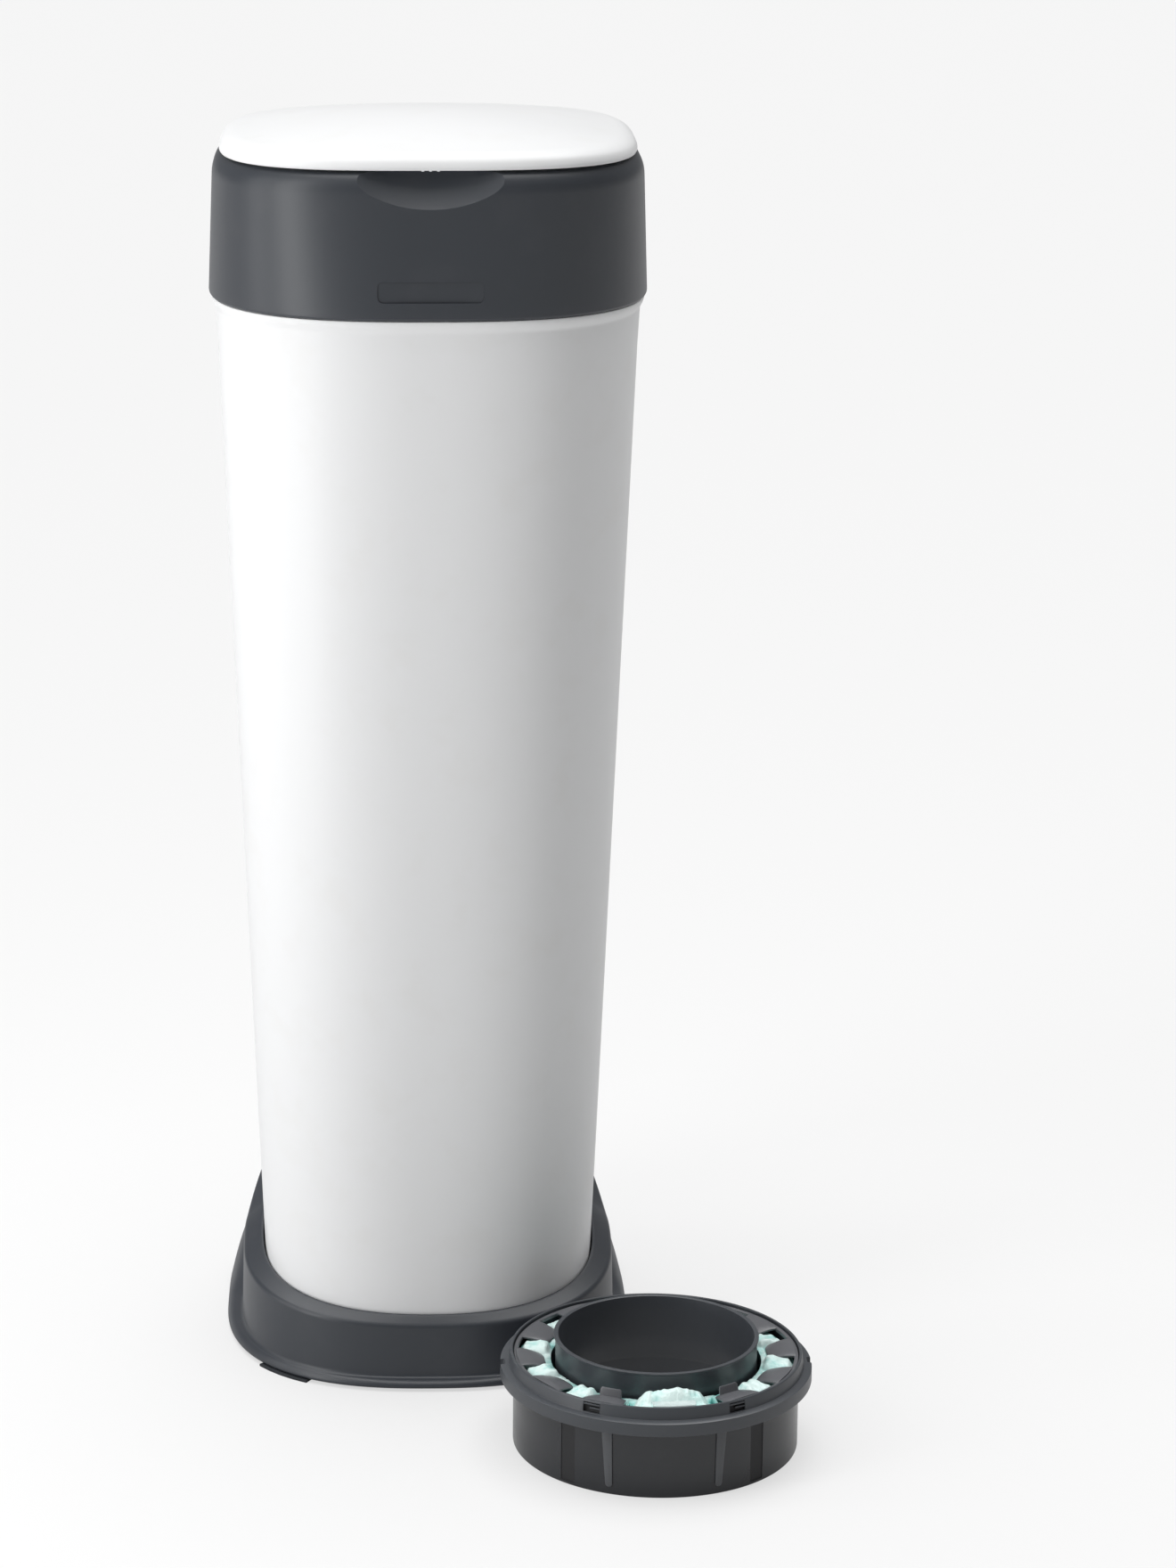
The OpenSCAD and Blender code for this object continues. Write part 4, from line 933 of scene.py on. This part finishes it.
filmSizes = dict(base=44.2, gapRise=4.9, mouthRise=6.2, hill=4.6, ringRise=2.6, crumple=1.4, steps=720,
                 outer=74.5, inner=55.4, low=2, fillTop=36.5)


def crumpled(point, scale):
    return 1 - 2 * abs(noise.noise(point * scale))


# How high the film swells: in the gaps between the tongues, at the open mouth and round the tube
def filmRise(reach, angle):
    cover, sizes = coverSizes, filmSizes
    gap = abs((angle - cover["first"] - cover["step"] / 2 + 15) % 30 - 15)
    away = abs(angle - cover["empty"])
    betweenTongues = smoothStep((9.5 - gap) / 6) if away > 21 else 0
    mouth = smoothStep((21 - away) / 8)
    acrossRing = smoothStep((74.8 - reach) / 4.5) * smoothStep((reach - 55.6) / 4.5)
    nearTube = smoothStep((62.5 - reach) / 3) * smoothStep((reach - 55.2) / 1.5)
    fullness = 1 + 0.5 * noise.noise(Vector((angle / 13, 2, 5)))
    bulge = sizes["hill"] * smoothStep((69 - reach) / 7)
    crown = max(0, 1 - (away / 19) ** 2)
    mouthUp = sizes["mouthRise"] * (1 - 0.2 * smoothStep((reach - 66) / 2)) + bulge * crown
    return max((sizes["gapRise"] + 0.35 * bulge) * fullness * betweenTongues * acrossRing,
               mouthUp * mouth * acrossRing, sizes["ringRise"] * nearTube)


def filmOutline(pulled):
    sizes = filmSizes
    outer, base, low = sizes["outer"], sizes["base"], sizes["low"]
    rows = [Vector((sizes["inner"], low)), Vector((outer, low)), Vector((outer, sizes["fillTop"]))]
    rows += [Vector((outer - 0.1 - k * 0.6, base + (0.5 if k < 2 else 0))) for k in range(31)]
    if pulled:  # up the outside of the tube, over its rim and down its bore
        rows += outlineOf([(56.0, 46), (56.0, 52), (55.9, 60), (55.7, 61.5, 0.6), (54.6, 61.75, 0.5),
                           (52.2, 61.75, 0.6), (51.4, 60.9, 0.6), (51.4, 54), (51.4, 46), (51.4, 38),
                           (51.4, 31), (52.0, 31), (52.0, 61.2), (55.3, 61.2)])
    return rows


def makeFilm(pulled):
    sizes = filmSizes
    film = spun("film", filmOutline(pulled), sizes["steps"])
    foldShades = film.data.attributes.new("fold", "FLOAT", "POINT")
    for vertex in film.data.vertices:
        reach, up = math.hypot(vertex.co.x, vertex.co.y) / mm, vertex.co.z / mm
        turn = math.atan2(vertex.co.y, vertex.co.x)
        place = ringPoint(reach, turn, up)
        wave = noise.noise(place * 0.09 + Vector((3, 1, 7)))
        pleat = ringPoint(8, turn, reach * 0.10)
        height = 0.45 * crumpled(pleat, 1.0) + 0.27 * crumpled(pleat, 2.1) + 0.28 * crumpled(place, 0.35)
        share = 0.6
        if reach > 55.5 and 40 < up < 45.5:
            rise = filmRise(reach, math.degrees(turn) % 360)
            share = smoothStep(rise / 4)
            vertex.co.z += (rise * (1 + 0.12 * wave) + share * sizes["crumple"] * (height - 0.75)) * mm
        elif pulled and reach < 53 and up < 61:
            slack = 0.6 * height + 0.4 * (0.5 + 0.5 * math.sin(17 * turn + 0.2 * up))
            shrink = (reach - 1.1 * max(0, slack)) / reach
            vertex.co.x *= shrink
            vertex.co.y *= shrink
        # Painted shade: low crumples and the film under the tongues get darker teal, crests and the film
        # risen between tongues paler mint
        foldShades.data[vertex.index].value = min(1, max(0, 0.42 * height + 0.3 * wave + 0.46 * share))
    return film


def makeClearTab():
    def placeAt(along, side):
        narrow = 1 - 0.12 * max(0, abs(side) - 0.8) * 5
        return Vector((71 + (6.6 * along - 3.3) * narrow, 11.4 * side, 51.1 + 0.4 * side ** 2))

    return turnedTo(sheet("clearTab", 6, 20, placeAt, 0.7, -1, 0.2), coverSizes["empty"])


def makeCassettes():
    body, cover, tab = makeCassetteBody(), makeCover(), makeClearTab()
    fittedPlace = Matrix.Translation((0, 0, cassetteSizes["fittedUp"] * mm))
    sparePlace = Matrix.Translation(Vector(cassetteSizes["spareAt"]) * mm)
    for source, finish, part in ((body, "darkGloss", "tub"), (cover, "coverSatin", "cover"),
                                 (tab, "clear", "tab")):
        fitted = copyOf(source, "fitted" + part.capitalize(), fittedPlace)
        dress(fitted, "cassette", finish, "cassette_" + part)
        source.data.transform(sparePlace)
        source.name = "spare" + part.capitalize()
        dress(source, "spare", finish, "spare_" + part)
    for pulled, place, owner in ((True, fittedPlace, "cassette"), (False, sparePlace, "spare")):
        film = makeFilm(pulled)
        film.data.transform(place)
        film.name = ("fitted" if pulled else "spare") + "Film"
        dress(film, owner, "film", owner + "_film", angle=60)


makeCassettes()
print("stage: cassettes modelled")

# Pan-head screws with a cross recess, one modelled for each length and copied
screwSizes = dict(head=4, core=2, crossLong=1.8, crossHalf=0.36)
screwGroups = {
    "base_screws": dict(body="base", length=15.3, head=2.3, at=(-42, 42), up=7.7),
    "chassis_screws": dict(body="head", length=9.9, head=2.3, at=(-83, 83), up=657.9),
    "lid_screws": dict(body="lid", length=8, head=1.2, at=(-70, 70), up=675.2),
}


def makeScrew(length, headThick):
    head, core, long, short = (screwSizes[key] for key in ("head", "core", "crossLong", "crossHalf"))
    outline = outlineOf([(0, -headThick), (2.2, -headThick, 0.6), (head - 0.5, -headThick * 0.72, 0.6),
                         (head, -0.4, 0.3), (head, 0, 0.1), (core, 0), (core, length - 0.6),
                         (core - 0.5, length), (0, length)])
    screw = spun("screw", outline, 64)
    corner = [(short, long), (short, short), (long, short)]
    cross = [Vector((x * a, y * b)) for a, b, way in ((1, 1, 1), (1, -1, -1), (-1, -1, 1), (-1, 1, -1))
             for x, y in corner[::way]]
    return cut(screw, plate("cross", cross, "Z", -headThick - 1, -headThick * 0.55))


def makeScrews():
    for node, group in screwGroups.items():
        source = makeScrew(group["length"], group["head"])
        copies = [copyOf(source, "screwCopy", Matrix.Translation(Vector((x, y, group["up"])) * mm))
                  for x in group["at"] for y in group["at"]]
        bpy.data.objects.remove(source)
        dress(joined(copies, node + "Turned"), group["body"], "steel", node)


makeScrews()
print("stage: screws modelled")

# Inner pieces keep their CAD shape, with softened edges
dressedNodes = [("hinge_bracket", "base", "greySatin", 0.4), ("head_hinge_pin", "base", "steel", 0.3),
                ("bracket_screws", "base", "steel", 0.3), ("head_chassis", "head", "darkMatte", 0),
                ("head_seal", "head", "blackRubber", 0.4), ("grip_fingers", "head", "darkMatte", 0),
                ("finger_screws", "head", "steel", 0.3), ("click_spring", "head", "steel", 0.1),
                ("spring_screw", "head", "steel", 0.3), ("cutter_guard", "head", "darkMatte", 0.4),
                ("cutter_blade", "head", "steel", 0), ("lid_hinge_pin", "head", "steel", 0.3),
                ("turntable", "table", "darkMatte", 0.3)]
for nodeName, bodyName, finishName, edgeWidth in dressedNodes:
    dressNode(nodeName, bodyName, finishName, edgeWidth)
print("stage: inner pieces dressed")

# Studio: pale floor, two upright strip lamps from the left and a wide soft sun from above
studio = dict(floorWide=60, floorSeen=1.0, floorShare=0.60, floorShade=(0.56, 0.72), glossShare=0.35,
              worldLight=(0.18, 0.90), worldGloss=0.08, sunPower=2.95, sunSoft=60, sunTurn=180, sunUp=80,
              sunAway=3, keyPower=7.0, keyTurn=-52, keyAway=1.0, keySize=(0.35, 1.6), sidePower=5.0,
              sideTurn=-85, sideAway=1.6, sideSize=(0.3, 1.8), lampFoot=0.05)
white = colour(1, 1, 1)


# What a camera ray sees, and what glossy and transmission rays see less of
def raysOf(paint, glossShare):
    seen, glossy, through = (paint.node("ShaderNodeLightPath", output=name)
                             for name in ("Is Camera Ray", "Is Glossy Ray", "Is Transmission Ray"))
    return seen, seen + (glossy + through) * glossShare


def makeFloor():
    clean()
    bpy.ops.mesh.primitive_plane_add(size=studio["floorWide"])
    floor = bpy.context.object
    floor.name = "studioFloor"
    paint = Paint("paleFloor")
    seen, share = raysOf(paint, studio["glossShare"])
    plain = paint.node("ShaderNodeBsdfDiffuse", {}, {"Color": between(studio["floorShade"], seen)})
    glow = paint.node("ShaderNodeEmission", {}, {"Color": white, "Strength": studio["floorSeen"]})
    mixed = paint.node("ShaderNodeMixShader", {}, {0: share * studio["floorShare"], 1: plain, 2: glow})
    paint.node("ShaderNodeOutputMaterial", {}, {"Surface": mixed})
    floor.data.materials.append(paint.material)


def makeWorld():
    world = bpy.data.worlds.new("studioAir")
    bpy.context.scene.world = world
    world.use_nodes = True
    paint = Paint("studioAirMaths")
    paint.tree = world.node_tree
    paint.tree.nodes.clear()
    share = raysOf(paint, studio["worldGloss"])[1]
    strength = between(studio["worldLight"], share)
    back = paint.node("ShaderNodeBackground", {}, {"Color": white, "Strength": strength})
    paint.node("ShaderNodeOutputWorld", {}, {"Surface": back})
    bpy.data.materials.remove(paint.material)


def makeLamp(name, kind, power, turn, up, away, target=(0, 0, 0)):
    clean()
    turn, up = math.radians(turn), math.radians(up)
    back = Vector((math.sin(turn) * math.cos(up), -math.cos(turn) * math.cos(up), math.sin(up)))
    bpy.ops.object.light_add(type=kind, location=Vector(target) + back * away)
    lamp = bpy.context.object
    lamp.name = name
    lamp.data.energy = power
    lamp.visible_camera = False
    lamp.rotation_euler = (-back).to_track_quat("-Z", "Y").to_euler()
    return lamp.data


def makeLamps():
    for name in ("key", "side"):
        wide, high = studio[name + "Size"]
        lamp = makeLamp(name + "Lamp", "AREA", studio[name + "Power"], studio[name + "Turn"], 0,
                        studio[name + "Away"], (0, 0, high / 2 + studio["lampFoot"]))
        lamp.shape = "RECTANGLE"
        lamp.size, lamp.size_y = wide, high
    power, turn, up, away = (studio["sun" + key] for key in ("Power", "Turn", "Up", "Away"))
    sun = makeLamp("sunLamp", "SUN", power, turn, up, away)
    sun.angle = math.radians(studio["sunSoft"])


cameraSizes = dict(turn=0.83, tilt=74.34, away=2.34, up=0.975, lens=100.227, film=36, shift=0.1023)


def makeCamera():
    clean()
    sizes = cameraSizes
    turn, tilt = math.radians(sizes["turn"]), math.radians(sizes["tilt"])
    place = (-math.sin(turn) * sizes["away"], -math.cos(turn) * sizes["away"], sizes["up"])
    bpy.ops.object.camera_add(location=place, rotation=(tilt, 0, -turn))
    camera = bpy.context.object
    camera.data.lens = sizes["lens"]
    camera.data.sensor_width = sizes["film"]
    camera.data.shift_x = sizes["shift"]
    camera.data.clip_end = 100
    bpy.context.scene.camera = camera


makeFloor()
makeWorld()
makeLamps()
makeCamera()
bpy.context.scene.view_settings.view_transform = "Standard"
print("stage: studio ready")
